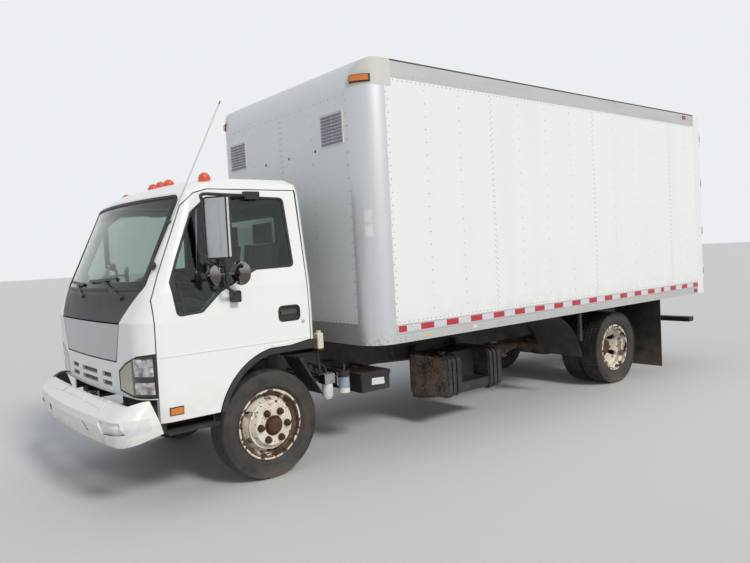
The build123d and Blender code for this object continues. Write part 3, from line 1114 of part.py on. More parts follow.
left_mirror = Pos(1122, -425, MIRROR_HEAD_BASE_Z) * Rot(0, 0, MIRROR_AIM) * mirror_head()
for start, end in zip(MIRROR_TUBE_PATH, MIRROR_TUBE_PATH[1:]):
    left_mirror += rod(start, end, MIRROR_TUBE_RADIUS)
    left_mirror += Pos(*end) * Sphere(MIRROR_TUBE_RADIUS)
for z in (MIRROR_HEAD_BASE_Z + 40, MIRROR_HEAD_TOP_Z - 40):
    left_mirror += rod((1042, -492, z), (1090, -440, z), 8)
for x, y, z, radius, turn in ROUND_MIRRORS:
    dish = Pos(x, y, z) * Rot(0, 0, turn) * round_mirror(radius)
    left_mirror += dish
left_mirror += rod((1105, -375, 1546), (1128, -322, 1546), 9)
left_mirror += rod((1105, -385, 1546), (1100, -512, 1540), 9)
lower_foot = block(970, 1052, -312, -248, 1342, 1424)
upper_foot = block(870, 932, -110, 10, 2072, 2128)
for foot in (lower_foot, upper_foot):
    left_mirror += fillet(foot.edges().filter_by(Axis.X), 14)
left_mirror = left_mirror - cab_shape(-0.5)
left_mirror = left_mirror.solids().sort_by(SortBy.VOLUME)[-1]
save("left_mirror", left_mirror)
save("right_mirror", flipped(left_mirror))

# Cab floor with its pivot lugs, front bulkhead and steps
floor_base_z = CAB_FLOOR_Z - CAB_FLOOR_THICKNESS
floor_half = HALF_CAB - DOOR_THICKNESS - SHUT_GAP
cab_room = cab_shape(DOOR_THICKNESS + 2 * SHUT_GAP)
behind_doors = cab_inner & block(20 - floor_half, floor_half - 20, 0, 2000, floor_base_z, CAB_FLOOR_Z)
cab_floor = (cab_room & block(-2000, 2000, -900, 2000, floor_base_z, CAB_FLOOR_Z)) + behind_doors
cab_floor += cab_inner & block(-2000, 2000, -940, DOOR_FRONT_Y - SHUT_GAP, floor_base_z, CAB_FLOOR_Z)
cab_floor += cab_inner & block(-2000, 2000, -900, -880, CAB_FLOOR_Z - 1, 1440)
for side in (1, -1):
    near = side * (HALF_FRAME + MOVING_CLEARANCE)
    lug = block(near, side * lug_outer, TILT_Y - 35, TILT_Y + 35, TILT_Z, floor_base_z + 1)
    lug += rod((near, TILT_Y, TILT_Z), (side * lug_outer, TILT_Y, TILT_Z), 35)
    lug -= rod((near - side, TILT_Y, TILT_Z), (side * (lug_outer + 1), TILT_Y, TILT_Z),
               TILT_PIN_RADIUS + PIN_CLEARANCE)
    cab_floor += lug
save("cab_floor", cab_floor)
STEP_INNER_X = 780
STEP_BASE_Z = 504
steps = []
for side in (1, -1):
    inner_x, outer_x = side * STEP_INNER_X, side * 920
    step = block(inner_x, side * (HALF_CAB - 6), -800, -440, STEP_BASE_Z, STEP_BASE_Z + 20)
    step += block(inner_x, inner_x + side * 12, -800, -440, STEP_BASE_Z, floor_base_z)
    step += block(inner_x, outer_x, -800, -788, STEP_BASE_Z, floor_base_z)
    step += block(inner_x, outer_x, -452, -440, STEP_BASE_Z, floor_base_z)
    steps.append(step)
save("cab_steps", *steps)

# Wheel arches: a black lip round the opening, deep enough to line it
ARCH_LIP = 48
ARCH_COVER = 16
outer_arch = arch_line(-ARCH_COVER)
inner_arch = arch_line(ARCH_LIP)
arch_band = make_face(outer_arch + inner_arch + [
    Line((CAB_BACK_Y, ARCH_TOP_Z + ARCH_COVER), (CAB_BACK_Y, ARCH_TOP_Z - ARCH_LIP)),
    Line(outer_arch[1] @ 1, inner_arch[1] @ 1)]) - door_gap_face
arches = []
for side in (1, -1):
    arches.append(side_prism(arch_band, side * (floor_half + 1), side * (HALF_CAB - 2)))
save("wheel_arches", *arches)

# Dashboard with the steering column, steering wheel, seats
STEER_X = 420
dash_side = outline(((-880, 1250), (-600, 1250), (-560, 1330), (-600, 1440), (-880, 1475)))
dash = cab_room & side_prism(dash_side, -850, 850)
COLUMN_FOOT = (STEER_X, -760, CAB_FLOOR_Z)
COLUMN_TOP = (STEER_X, -430, 1440)
dash += rod(COLUMN_FOOT, COLUMN_TOP, 32) - block(-2000, 2000, -2000, 0, 0, CAB_FLOOR_Z)
save("dashboard", dash)
column_axis = Vector(*COLUMN_TOP) - Vector(*COLUMN_FOOT)
wheel_plane = Plane(origin=Vector(*COLUMN_TOP) + column_axis.normalized() * 45, z_dir=column_axis)
STEERING_WHEEL_RADIUS = 220
steering_wheel = wheel_plane * Torus(STEERING_WHEEL_RADIUS - 15, 15)
steering_wheel += wheel_plane * Pos(0, 0, -17) * Cylinder(60, 40)
for angle in (30, 150, 270):
    steering_wheel += wheel_plane * Rot(0, 0, angle) * Pos(120, 0, -5) * Box(190, 36, 12)
save("steering_wheel", steering_wheel)
SEATS = (
    # place across, width
    (STEER_X, 500), (-STEER_X + 60, 780),
)
SEAT_FRONT_Y = -300
SEAT_REAR_Y = 180
SEAT_RISER_Z = 1205
SEAT_CUSHION_Z = 1330
seats = []
for x, width in SEATS:
    left, right = x - width / 2, x + width / 2
    riser = block(left + 25, right - 25, SEAT_FRONT_Y + 40, SEAT_REAR_Y + 60, CAB_FLOOR_Z, SEAT_RISER_Z)
    cushion = block(left, right, SEAT_FRONT_Y, SEAT_REAR_Y, SEAT_RISER_Z, SEAT_CUSHION_Z)
    back_side = outline(((150, 1240), (262, 1240), (340, 1760), (258, 1772)), 30)
    back = side_prism(back_side, left + 10, right - 10)
    seat = riser + fillet(cushion.edges().filter_by(Axis.X), 30) + back
    for head_x in ([x] if width < 600 else [left + width / 4, right - width / 4]):
        head = block(head_x - 120, head_x + 120, 262, 338, 1755, 1925)
        seat += fillet(head.edges().filter_by(Axis.X), 28)
    seats.append(seat)
save("seats", *seats)

# Roof lamps: five domes on short bases along the front of the roof
ROOF_LAMP_Y = -350
ROOF_LAMP_RADIUS = 43
ROOF_LAMPS = (
    # place across, height of the base's top
    (-796, 2238), (-162, 2262), (0, 2264), (162, 2262), (796, 2238),
)
lamp_heads = []
for x, z in ROOF_LAMPS:
    lamp_base = Pos(x, ROOF_LAMP_Y, z - 30) * Cylinder(ROOF_LAMP_RADIUS, 60)
    ball = Pos(x, ROOF_LAMP_Y, z - 8) * Sphere(ROOF_LAMP_RADIUS - 3)
    dome = ball & block(-1000, 1000, -500, 0, z - 1, z + 60)
    lamp_heads.append(lamp_base + dome - cab_outer)
save("roof_lamps", *lamp_heads)

# Wipers and antenna: an arm and a blade on each pivot, just clear of the windshield
WIPERS = (
    # pivot, arm's end, blade's outer end, blade's inner end, each as place across and height
    ((644, 1424), (300, 1544), (512, 1551), (65, 1533)),
    ((-10, 1430), (-250, 1520), (-62, 1510), (-505, 1527)),
)
wiper_shell = cab_shape(-14) - cab_shape(-4)
pivot_shell = cab_shape(-14) - cab_outer
wipers = []
for (pivot_x, pivot_z), (arm_x, arm_z), (outer_x, outer_z), (inner_x, inner_z) in WIPERS:
    arm = outline(((pivot_x - 8, pivot_z - 12), (pivot_x + 8, pivot_z + 10), (arm_x + 4, arm_z + 7),
                   (arm_x - 4, arm_z - 7)))
    blade = outline(((outer_x, outer_z - 9), (outer_x, outer_z + 9), (inner_x, inner_z + 9),
                     (inner_x, inner_z - 9)))
    pivot = front_prism(Pos(pivot_x, pivot_z) * Circle(20), -1300, -700)
    wiper = (wiper_shell & front_prism(arm + blade, -1300, -700)) + (pivot_shell & pivot)
    wipers.append(wiper)
save("wipers", *wipers)
ANTENNA_BASE = (920, -812, 1629)
ANTENNA_TOP = (920, -252, 2757)
antenna = rod(ANTENNA_BASE, ANTENNA_TOP, 4) + Pos(*ANTENNA_BASE) * Sphere(24)
antenna += rod((860, -780, 1600), ANTENNA_BASE, 16)
antenna += rod((870, -668, 1912), (920, -676, 1912), 7)
save("antenna", antenna - cab_outer)
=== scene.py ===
import math

import bmesh
import bpy
from mathutils import Matrix, Vector
from mathutils.bvhtree import BVHTree


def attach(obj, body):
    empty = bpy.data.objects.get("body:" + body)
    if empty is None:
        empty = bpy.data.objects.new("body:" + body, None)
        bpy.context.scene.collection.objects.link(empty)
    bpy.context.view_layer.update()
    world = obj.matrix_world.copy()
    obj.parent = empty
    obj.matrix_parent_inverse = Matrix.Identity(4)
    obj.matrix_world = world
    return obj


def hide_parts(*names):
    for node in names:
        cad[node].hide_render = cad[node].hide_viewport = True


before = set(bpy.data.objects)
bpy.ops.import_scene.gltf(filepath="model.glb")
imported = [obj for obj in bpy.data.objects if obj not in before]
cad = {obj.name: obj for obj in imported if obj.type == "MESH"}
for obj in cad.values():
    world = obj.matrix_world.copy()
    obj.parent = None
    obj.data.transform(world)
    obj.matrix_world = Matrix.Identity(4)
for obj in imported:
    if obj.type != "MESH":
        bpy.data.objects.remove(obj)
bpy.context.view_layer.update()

# Ladder frame: two pressed steel channel rails with tube cross members riveted between them.
# It is painted black, with rust coming through in patches and road dust that is thickest near the ground.
FRONT_AXLE_Y = -2.5875


class Wire:
    """A node's output that can be added, multiplied or compared, so that a mask reads as one line."""

    def __init__(self, net, socket):
        self.net = net
        self.socket = socket

    def other(self, name):
        return Wire(self.net, self.socket.node.outputs[name])

    def __add__(self, value):
        return self.net.math("ADD", self, value)

    def __radd__(self, value):
        return self.net.math("ADD", value, self)

    def __sub__(self, value):
        return self.net.math("SUBTRACT", self, value)

    def __rsub__(self, value):
        return self.net.math("SUBTRACT", value, self)

    def __mul__(self, value):
        return self.net.math("MULTIPLY", self, value)

    def __rmul__(self, value):
        return self.net.math("MULTIPLY", value, self)

    def __truediv__(self, value):
        return self.net.math("DIVIDE", self, value)

    def __pow__(self, value):
        return self.net.math("POWER", self, value)

    def __lt__(self, value):
        return self.net.math("LESS_THAN", self, value)

    def __abs__(self):
        return self.net.math("ABSOLUTE", self)


class Net:
    """A node tree that is written as expressions."""

    def __init__(self, tree):
        self.tree = tree

    def node(self, kind, settings=None, inputs=None, output=0):
        made = self.tree.nodes.new(kind)
        for name, value in (settings or {}).items():
            setattr(made, name, value)
        for name, value in (inputs or {}).items():
            if isinstance(value, Wire):
                self.tree.links.new(value.socket, made.inputs[name])
            else:
                made.inputs[name].default_value = value
        return Wire(self, made.outputs[output])

    def math(self, operation, first, second=0.0):
        return self.node("ShaderNodeMath", {"operation": operation}, {0: first, 1: second})


class Finish(Net):
    """A finish laid on in coats: each changes colour, roughness, metal or relief where its mask is."""

    def __init__(self, name, colour, roughness, metallic=0.0, **sockets):
        self.material = bpy.data.materials.new(name)
        self.material.use_nodes = True
        super().__init__(self.material.node_tree)
        self.shader = self.tree.nodes["Principled BSDF"]
        for socket, value in sockets.items():
            self.shader.inputs[socket.replace("_", " ")].default_value = value
        self.point = self.node("ShaderNodeTexCoord", output="Object")
        self.x = self.node("ShaderNodeSeparateXYZ", inputs={0: self.point})
        self.y = self.x.other("Y") - FRONT_AXLE_Y
        self.z = self.x.other("Z")
        self.colour = (*colour, 1.0)
        self.roughness = roughness
        self.metallic = metallic
        self.relief = 0.0

    def noise(self, scale, detail=4.0, stretch=(1.0, 1.0, 1.0), seed=0.0):
        spread = self.node("ShaderNodeVectorMath", {"operation": "MULTIPLY_ADD"},
                           {0: self.point, 1: tuple(scale * part for part in stretch), 2: (seed, seed, seed)})
        return self.node("ShaderNodeTexNoise", inputs={"Vector": spread, "Scale": 1.0, "Detail": detail})

    def cells(self, scale):
        return self.node("ShaderNodeTexVoronoi", inputs={"Vector": self.point, "Scale": scale})

    def rise(self, value, low, high):
        """0 under the low value and 1 over the high one, with a soft step between."""
        smooth = {"interpolation_type": "SMOOTHSTEP"}
        return self.node("ShaderNodeMapRange", smooth, {0: value, 1: low, 2: high})

    def fall(self, value, low, high):
        """1 under the low value and 0 over the high one."""
        return 1.0 - self.rise(value, low, high)

    def cloud(self, scale, detail, low, high, **kind):
        """Soft patches, where a noise passes from the low value to the high one."""
        return self.rise(self.noise(scale, detail, **kind), low, high)

    def slope(self, way):
        """How far the surface faces along this way: from -1 to 1 where the way is one metre long."""
        lie = self.node("ShaderNodeTexCoord", output="Normal")
        return self.node("ShaderNodeVectorMath", {"operation": "DOT_PRODUCT"}, {0: lie, 1: way}, 1)

    def inward(self, centre):
        """1 on the surfaces that face the centre of the space they enclose."""
        place = (centre[0], centre[1] + FRONT_AXLE_Y, centre[2])
        arm = self.node("ShaderNodeVectorMath", {"operation": "SUBTRACT"}, {0: self.point, 1: place})
        return self.fall(self.slope(arm), -0.06, 0.0)

    def within(self, value, low, high, soft=0.01):
        """1 between the low value and the high one."""
        return self.rise(value, low - soft, low) * self.fall(value, high, high + soft)

    def tone(self, mask, first, second):
        """The first colour, or the second where the mask is."""
        inputs = {0: mask, 6: first, 7: second}
        for key in (6, 7):
            if not isinstance(inputs[key], Wire):
                inputs[key] = (*inputs[key][:3], 1.0)
        return self.node("ShaderNodeMix", {"data_type": "RGBA"}, inputs, output=2)

    def coat(self, mask, colour=None, roughness=None, metallic=None, lift=None):
        if colour is not None:
            self.colour = self.tone(mask, self.colour, colour)
        if roughness is not None:
            self.roughness = self.roughness + mask * (roughness - self.roughness)
        if metallic is not None:
            self.metallic = self.metallic + mask * (metallic - self.metallic)
        if lift is not None:
            self.relief = self.relief + mask * lift

    def mottle(self, scale, detail, low, high, amount, colour, roughness=None, **kind):
        """A coat in soft patches, laid on by the amount."""
        self.coat(self.cloud(scale, detail, low, high, **kind) * amount, colour, roughness)

    def grain(self, scale, height):
        """Fine relief all over."""
        self.relief = self.relief + self.noise(scale) * height

    def road_dust(self, top, amount):
        """Tan dust, thickest near the ground and gone at the given height."""
        low_down = self.fall(self.z, 0.15, top)
        self.coat(low_down * self.cloud(6.0, 6.0, 0.3, 0.72) * amount, (0.34, 0.27, 0.2), 0.95)

    def rust(self, low, high, scale=9.0, seed=3.0):
        """Rust patches where a noise passes from the low value to the high one."""
        brown = self.tone(self.noise(30.0, 5.0, seed=seed), (0.085, 0.036, 0.018), (0.2, 0.088, 0.038))
        self.coat(self.cloud(scale, 9.0, low, high, seed=seed), brown, 0.92, 0.0, 0.0006)

    def done(self):
        surface = {"Base Color": self.colour, "Roughness": self.roughness, "Metallic": self.metallic}
        for name, value in surface.items():
            if isinstance(value, Wire):
                self.tree.links.new(value.socket, self.shader.inputs[name])
            else:
                self.shader.inputs[name].default_value = value
        if isinstance(self.relief, Wire):
            normal = self.node("ShaderNodeBump", inputs={"Distance": 1.0, "Height": self.relief})
            self.tree.links.new(normal.socket, self.shader.inputs["Normal"])
        return self.material


def paint(finish, *names):
    """Give the CAD nodes this finish."""
    for name in names:
        for slot in cad[name].material_slots:
            slot.material = finish


chassis_black = Finish("chassis_black", (0.016, 0.016, 0.017), 0.55)
chassis_black.rust(0.6, 0.72)
chassis_black.road_dust(1.0, 0.42)
chassis_black.grain(160.0, 0.0004)
paint(chassis_black.done(), "ladder_frame", "box_cross_beams")

# Steps: a tread below each cab door and a bumper step under the rear doors, of pressed steel painted black.
# They are bolted to the cab floor and to the ends of the rails, and boots have worn their tops grey.
UP = (0.0, 0.0, 1.0)
step_black = Finish("step_black", (0.014, 0.014, 0.015), 0.5)
step_black.mottle(9.0, 6.0, 0.5, 0.8, 0.5, (0.07, 0.06, 0.05), 0.8)
step_black.coat(step_black.rise(step_black.slope(UP), 0.7, 0.9) * 0.45, (0.1, 0.085, 0.07), 0.95)
step_black.relief = step_black.cells(240.0) * 0.0004
paint(step_black.done(), "cab_steps", "rear_step")

# Axles, springs and steering: forgings and leaves of bare steel, long since brown with rust and dust.
# The knuckles turn on kingpins in the beam's eyes, and the tie rod joins their arms.
running_gear = Finish("running_gear", (0.03, 0.027, 0.025), 0.75)
running_gear.rust(0.5, 0.66, 14.0)
running_gear.road_dust(0.9, 0.65)
running_gear.grain(90.0, 0.0008)
paint(running_gear.done(), "front_axle", "rear_axle", "leaf_springs", "drive_shaft",
      "left_knuckle", "right_knuckle", "tie_rod")

# Engine and exhaust: a grey iron block with its gearbox, and a muffler of aluminised steel by the right rail.
# The block sits between the rails, the muffler hangs on a strap, and heat has turned the pipes brown.
engine_iron = Finish("engine_iron", (0.09, 0.09, 0.088), 0.7, 0.3)
engine_iron.coat(engine_iron.cloud(7.0, 4.0, 0.45, 0.6), (0.03, 0.026, 0.022), 0.5)
engine_iron.rust(0.62, 0.74)
engine_iron.road_dust(1.0, 0.7)
engine_iron.grain(60.0, 0.0015)
paint(engine_iron.done(), "engine")
exhaust_steel = Finish("exhaust_steel", (0.24, 0.22, 0.2), 0.55, 0.8)
exhaust_steel.rust(0.42, 0.6, 12.0)
exhaust_steel.road_dust(0.9, 0.5)
paint(exhaust_steel.done(), "exhaust")

# Fuel tank: a black moulded tank on two rusty brackets, with a tread step sunk between its ribbed end bands.
# Dry mud has caked on the face that looks towards the front wheel.
tank_black = Finish("tank_black", (0.018, 0.018, 0.019), 0.5)
tank_front = tank_black.fall(tank_black.slope((0.0, 1.0, 0.0)), -0.9, -0.6)
tank_front = tank_front * (1.0 - tank_black.rise(tank_black.y, 1.9, 1.92) * 0.75)
tank_mud = tank_black.noise(48.0, 7.0) * 0.7 + tank_black.noise(9.0, 3.0, seed=4.0) * 0.5
tank_mud = tank_black.rise(tank_mud, 0.52, 0.66)
tank_black.coat(tank_mud * tank_front, (0.2, 0.15, 0.11), 0.95, lift=0.0015)
tank_black.coat(tank_front * tank_black.cloud(90.0, 3.0, 0.6, 0.64) * 0.8, (0.4, 0.33, 0.26), 0.95)
tank_black.road_dust(0.6, 0.18)
tank_black.grain(240.0, 0.0002)
paint(tank_black.done(), "fuel_tank")

# Battery box and reservoirs: a black steel box with a clamped lid, then an air dryer with a cast head,
# a fuel filter with a pale bowl and a coolant bottle. They hang on arms from the left rail.
battery_black = Finish("battery_black", (0.018, 0.018, 0.019), 0.45)
battery_black.rust(0.66, 0.76, 16.0)
battery_black.coat(battery_black.rise(battery_black.slope(UP), 0.7, 0.9) * 0.7, (0.17, 0.13, 0.1), 0.9)
battery_black.road_dust(0.6, 0.3)
paint(battery_black.done(), "battery_box")
canister = Finish("canister_paint", (0.02, 0.02, 0.021), 0.5)
by_bottle = canister.within(canister.y, 0.45, 0.521, 0.002)
by_dryer = canister.within(canister.y, 0.522, 0.625, 0.002)
by_filter = canister.within(canister.y, 0.686, 0.8, 0.002)
dryer_head = canister.within(canister.z, 0.613, 0.692, 0.001) * canister.rise(canister.x, 0.79, 0.796)
canister.coat(by_dryer * canister.within(canister.z, 0.488, 0.612, 0.001), (0.72, 0.72, 0.69), 0.4)
canister.coat(by_dryer * dryer_head, (0.34, 0.35, 0.36), 0.45, 0.6)
canister.coat(by_filter * canister.within(canister.z, 0.508, 0.64, 0.001), (0.3, 0.36, 0.42), 0.4)
canister.coat(by_filter * canister.within(canister.z, 0.508, 0.548, 0.001), (0.74, 0.74, 0.72), 0.35)
canister.coat(by_bottle * canister.rise(canister.z, 0.905, 0.907), (0.68, 0.63, 0.5), 0.45)
canister.mottle(14.0, 6.0, 0.5, 0.72, 0.45, (0.12, 0.095, 0.075), 0.85)
paint(canister.done(), "reservoirs")


def placed(name, data):
    """A new object of this data, in the scene."""
    made = bpy.data.objects.new(name, data)
    bpy.context.scene.collection.objects.link(made)
    return made


class Skin:
    """The outside of some CAD nodes, met by rays, so that plates, seals and lenses lie on it."""

    def __init__(self, *names):
        points, faces = [], []
        for name in names:
            mesh = cad[name].data
            start = len(points)
            points += [vertex.co - Vector((0, FRONT_AXLE_Y, 0)) for vertex in mesh.vertices]
            faces += [[start + k for k in face.vertices] for face in mesh.polygons]
        self.tree = BVHTree.FromPolygons(points, faces)

    def meet(self, start, ahead):
        """The point where a ray meets the skin, and the way that the skin faces there."""
        point, facing = self.tree.ray_cast(Vector(start), Vector(ahead))[:2]
        if point is None:
            point, facing = self.tree.find_nearest(Vector(start))[:2]
        return point, facing if facing.dot(Vector(ahead)) < 0 else -facing


class Work:
    """A mesh in the making, in metres, with its Y counted from the front axle line."""

    def __init__(self):
        self.mesh = bmesh.new()

    def shade(self, faces, finish):
        for face in faces:
            face.material_index = finish

    def box(self, low, high, finish=0):
        made = bmesh.ops.create_cube(self.mesh, size=1.0)["verts"]
        for vertex in made:
            vertex.co = Vector([low[i] + (high[i] - low[i]) * (vertex.co[i] + 0.5) for i in range(3)])
        self.shade({face for vertex in made for face in vertex.link_faces}, finish)

    def ring(self, points):
        return [self.mesh.verts.new(point) for point in points]

    def skin(self, rings, finish=0, capped=True):
        """Faces between rings of points, with the end rings filled where it is capped."""
        faces = []
        rows = [self.ring(ring) for ring in rings]
        count = len(rows[0])
        for one, two in zip(rows, rows[1:]):
            for k in range(count):
                after = (k + 1) % count
                faces.append(self.mesh.faces.new((one[k], one[after], two[after], two[k])))
        if capped:
            faces += [self.mesh.faces.new(rows[0][::-1]), self.mesh.faces.new(rows[-1])]
        self.shade(faces, finish)

    def sweep(self, points, radius, sides=12, finish=0):
        """A round bar along the points, turning its ring as it goes."""
        path = [Vector(point) for point in points]
        rings = []
        across = None
        for k, here in enumerate(path):
            ahead = (path[min(k + 1, len(path) - 1)] - path[max(k - 1, 0)]).normalized()
            if across is None:
                across = ahead.orthogonal().normalized()
            across = (across - ahead * across.dot(ahead)).normalized()
            over = ahead.cross(across)
            rings.append([here + (across * math.cos(t) + over * math.sin(t)) * radius
                          for t in (2 * math.pi * j / sides for j in range(sides))])
        self.skin(rings, finish)

    def plate(self, outline, depth, finish=0):
        """A flat outline made as thick as the depth vector."""
        points = [Vector(point) for point in outline]
        self.skin([points, [point + Vector(depth) for point in points]], finish)

    def patch(self, skin, corners, ahead, lift, steps, finish=0):
        """A sheet laid on a skin between four corners, from just under it up to the lift."""
        a, b, c, d = [Vector(corner) for corner in corners]
        across, along = steps
        tops, feet = [], []
        for i in range(along + 1):
            met = [skin.meet(a.lerp(b, j / across).lerp(d.lerp(c, j / across), i / along), ahead)
                   for j in range(across + 1)]
            tops.append(self.ring([point + facing * lift for point, facing in met]))
            feet.append(self.ring([point - facing * 0.0015 for point, facing in met]))
        loops = []
        for i in range(along):
            for j in range(across):
                loops.append((tops[i][j], tops[i][j + 1], tops[i + 1][j + 1], tops[i + 1][j]))
                loops.append((feet[i][j], feet[i + 1][j], feet[i + 1][j + 1], feet[i][j + 1]))
        border = [(0, j) for j in range(across)] + [(i, across) for i in range(along)]
        border += [(along, j) for j in range(across, 0, -1)] + [(i, 0) for i in range(along, 0, -1)]
        for (i, j), (k, m) in zip(border, border[1:] + border[:1]):
            loops.append((tops[i][j], feet[i][j], feet[k][m], tops[k][m]))
        self.shade([self.mesh.faces.new(loop) for loop in loops], finish)

    def boss(self, skin, start, ahead, radius, height, bulge=0.0, finish=0, sides=24):
        """A round plug, cap or lens that stands on a skin and swells in its middle."""
        middle, facing = skin.meet(start, ahead)
        first = facing.orthogonal().normalized()
        second = facing.cross(first)
        turns = [2 * math.pi * k / sides for k in range(sides)]
        profile = [(1.0, -0.002), (1.0, height), (0.93, height + bulge * 0.2), (0.75, height + bulge * 0.55),
                   (0.5, height + bulge * 0.8), (0.2, height + bulge)]
        self.skin([[middle + (first * math.cos(t) + second * math.sin(t)) * radius * out + facing * up
                    for t in turns] for out, up in profile], finish)

    def bead(self, skin, starts, ahead, width, height, finish=0, closed=True, sides=8):
        """A rubber or plastic strip pressed on a skin along a line."""
        met = [skin.meet(start, ahead) for start in starts]
        rings = []
        for k, (point, facing) in enumerate(met):
            before = met[k - 1] if closed or k else met[k]
            after = met[(k + 1) % len(met)] if closed or k + 1 < len(met) else met[k]
            across = facing.cross(after[0] - before[0]).normalized()
            rings.append([point + across * math.cos(t) * width / 2 + facing * math.sin(t) * height
                          for t in (2 * math.pi * j / sides for j in range(sides))])
        if closed:
            rings.append(rings[0])
        self.skin(rings, finish, capped=not closed)

    def turned(self, profile, centre, steps=96):
        """A closed profile of (along, out) pairs turned round an axle through the centre."""
        rings = []
        for k in range(steps):
            angle = 2 * math.pi * k / steps
            out = Vector((0, math.cos(angle), math.sin(angle)))
            rings.append([Vector(centre) + Vector((a, 0, 0)) + out * r for a, r in profile])
        self.skin(rings + rings[:1], capped=False)

    def done(self, name, body, *finishes, angle=35, bevel=0.0):
        """The finished piece: it gets its finishes and its place, and rides on its body."""
        bmesh.ops.remove_doubles(self.mesh, verts=self.mesh.verts, dist=1e-5)
        bmesh.ops.recalc_face_normals(self.mesh, faces=self.mesh.faces)
        mesh = bpy.data.meshes.new(name)
        self.mesh.to_mesh(mesh)
        self.mesh.free()
        mesh.transform(Matrix.Translation((0, FRONT_AXLE_Y, 0)))
        for finish in finishes:
            mesh.materials.append(finish)
        mesh.shade_smooth()
        mesh.set_sharp_from_angle(angle=math.radians(angle))
        made = placed(name, mesh)
        if bevel:
            edge = made.modifiers.new("edges", "BEVEL")
            edge.width = bevel
            edge.segments = 2
            edge.limit_method = "ANGLE"
            edge.angle_limit = math.radians(40)
        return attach(made, body)


def mottled(name, colour, roughness, *patches, metallic=0.0, **sockets):
    """A finish with one coat in soft patches, given as mottle takes them."""
    finish = Finish(name, colour, roughness, metallic, **sockets)
    finish.mottle(*patches)
    return finish.done()


plate_white = mottled("plate_white", (0.72, 0.73, 0.72), 0.45,
                      40.0, 7.0, 0.5, 0.75, 0.4, (0.45, 0.43, 0.39), 0.7)
BATTERY_PLATE = ((1.2, 0.995, 0.53), (1.2, 1.135, 0.522), (1.2, 1.13, 0.578), (1.2, 1.0, 0.586))
plate = Work()
plate.patch(Skin("battery_box"), BATTERY_PLATE, (-1, 0, 0), 0.002, (4, 2))
plate.done("battery_plate", "chassis", plate_white)

# Air pipes: formed black pipes from the air dryer and the filter, over the bracket and into the left rail.
# They are bent to shape and screwed into the ports at both ends.
pipe_black = mottled("pipe_black", (0.02, 0.02, 0.021), 0.45,
                     30.0, 6.0, 0.45, 0.7, 0.5, (0.13, 0.105, 0.08), 0.9)


def arc(start, corner, stop, steps):
    """A curve that leaves the start towards the corner and comes to the stop from it."""
    shares = [k / steps for k in range(steps + 1)]
    return [start.lerp(corner, share).lerp(corner.lerp(stop, share), share) for share in shares]


def bent(corners):
    """A line bent through these corners, with a long round bend at each."""
    path = [Vector(corner) for corner in corners]
    points = [path[0]]
    for before, here, after in zip(path, path[1:], path[2:]):
        points += arc((before + here) / 2, here, (here + after) / 2, 8)
    return points + [path[-1]]


AIR_PIPES = (
    # corners, radius
    (((0.84, 0.57, 0.68), (0.84, 0.57, 0.735), (0.76, 0.6, 0.742), (0.6, 0.66, 0.72), (0.424, 0.68, 0.715)),
     0.009),
    (((0.86, 0.6, 0.655), (0.87, 0.66, 0.66), (0.86, 0.7, 0.672)), 0.008),
    (((0.84, 0.75, 0.685), (0.83, 0.77, 0.73), (0.7, 0.84, 0.735), (0.424, 0.86, 0.71)), 0.01),
)
pipes = Work()
for corners, radius in AIR_PIPES:
    pipes.sweep(bent(corners), radius, 10)
pipes.done("air_pipes", "chassis", pipe_black)

# Tyres: radial truck tyres, ribbed in front and blocked behind, worn and grey with gravel dust.
# Each is a turned carcass with grooves and sidewall bands, held on its rim by the beads at its inner edge.
TYRE_RADIUS = 0.405
AXLE_Z = TYRE_RADIUS
WHEELBASE = 4.47
FRONT_TYRE_X = 0.83
REAR_PAIR_X = 0.825
TWIN_OFFSET = 0.129
TREAD_HALF = 0.089


def tyre_profile(grooves):
    """A tyre's section as (across, radius) from bead to bead, cut by (across, width, depth) grooves."""
    side = [(0.078, 0.25), (0.079, 0.266), (0.088, 0.271), (0.0965, 0.281), (0.1, 0.2885), (0.1022, 0.289),
            (0.1028, 0.2925), (0.1018, 0.296), (0.1065, 0.311), (0.1098, 0.329), (0.1103, 0.342),
            (0.1092, 0.3535), (0.1105, 0.3545), (0.1102, 0.3605), (0.1083, 0.3612), (0.1058, 0.37),
            (0.102, 0.3815), (0.1005, 0.384), (0.1003, 0.3875), (0.0965, 0.393), (0.0925, 0.3966)]
    tread = []
    for groove, width, depth in grooves:
        radius = TYRE_RADIUS - 0.0065 * (groove / TREAD_HALF) ** 2
        tread += [(groove + width / 2, radius), (groove + width / 2 - 0.0015, radius - depth),
                  (groove - width / 2 + 0.0015, radius - depth), (groove - width / 2, radius)]
    right_half = side + tread
    return [(-a, r) for a, r in right_half] + right_half[::-1]


tyre_black = Finish("tyre_black", (0.024, 0.0235, 0.023), 0.7)
tyre_black.mottle(11.0, 6.0, 0.25, 0.75, 0.3, (0.15, 0.125, 0.1), 0.95)
tyre_black.coat(tyre_black.fall(tyre_black.z, 0.0, 0.12) * 0.5, (0.24, 0.19, 0.145), 0.97)
tyre_black.relief = tyre_black.noise(130.0) * 0.0006
tyre_black = tyre_black.done()
CROWN = (0.0, 0.0001, 0.0)
RIB_GROOVES = ((0.06, 0.007, 0.007), (0.022, 0.009, 0.008), CROWN)
for name, x in (("left_front", FRONT_TYRE_X), ("right_front", -FRONT_TYRE_X)):
    tyre = Work()
    tyre.turned(tyre_profile(RIB_GROOVES), (x, 0, AXLE_Z))
    made = tyre.done(f"{name}_tyre_carcass", f"{name}_wheel", tyre_black)
    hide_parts(f"{name}_tyre")


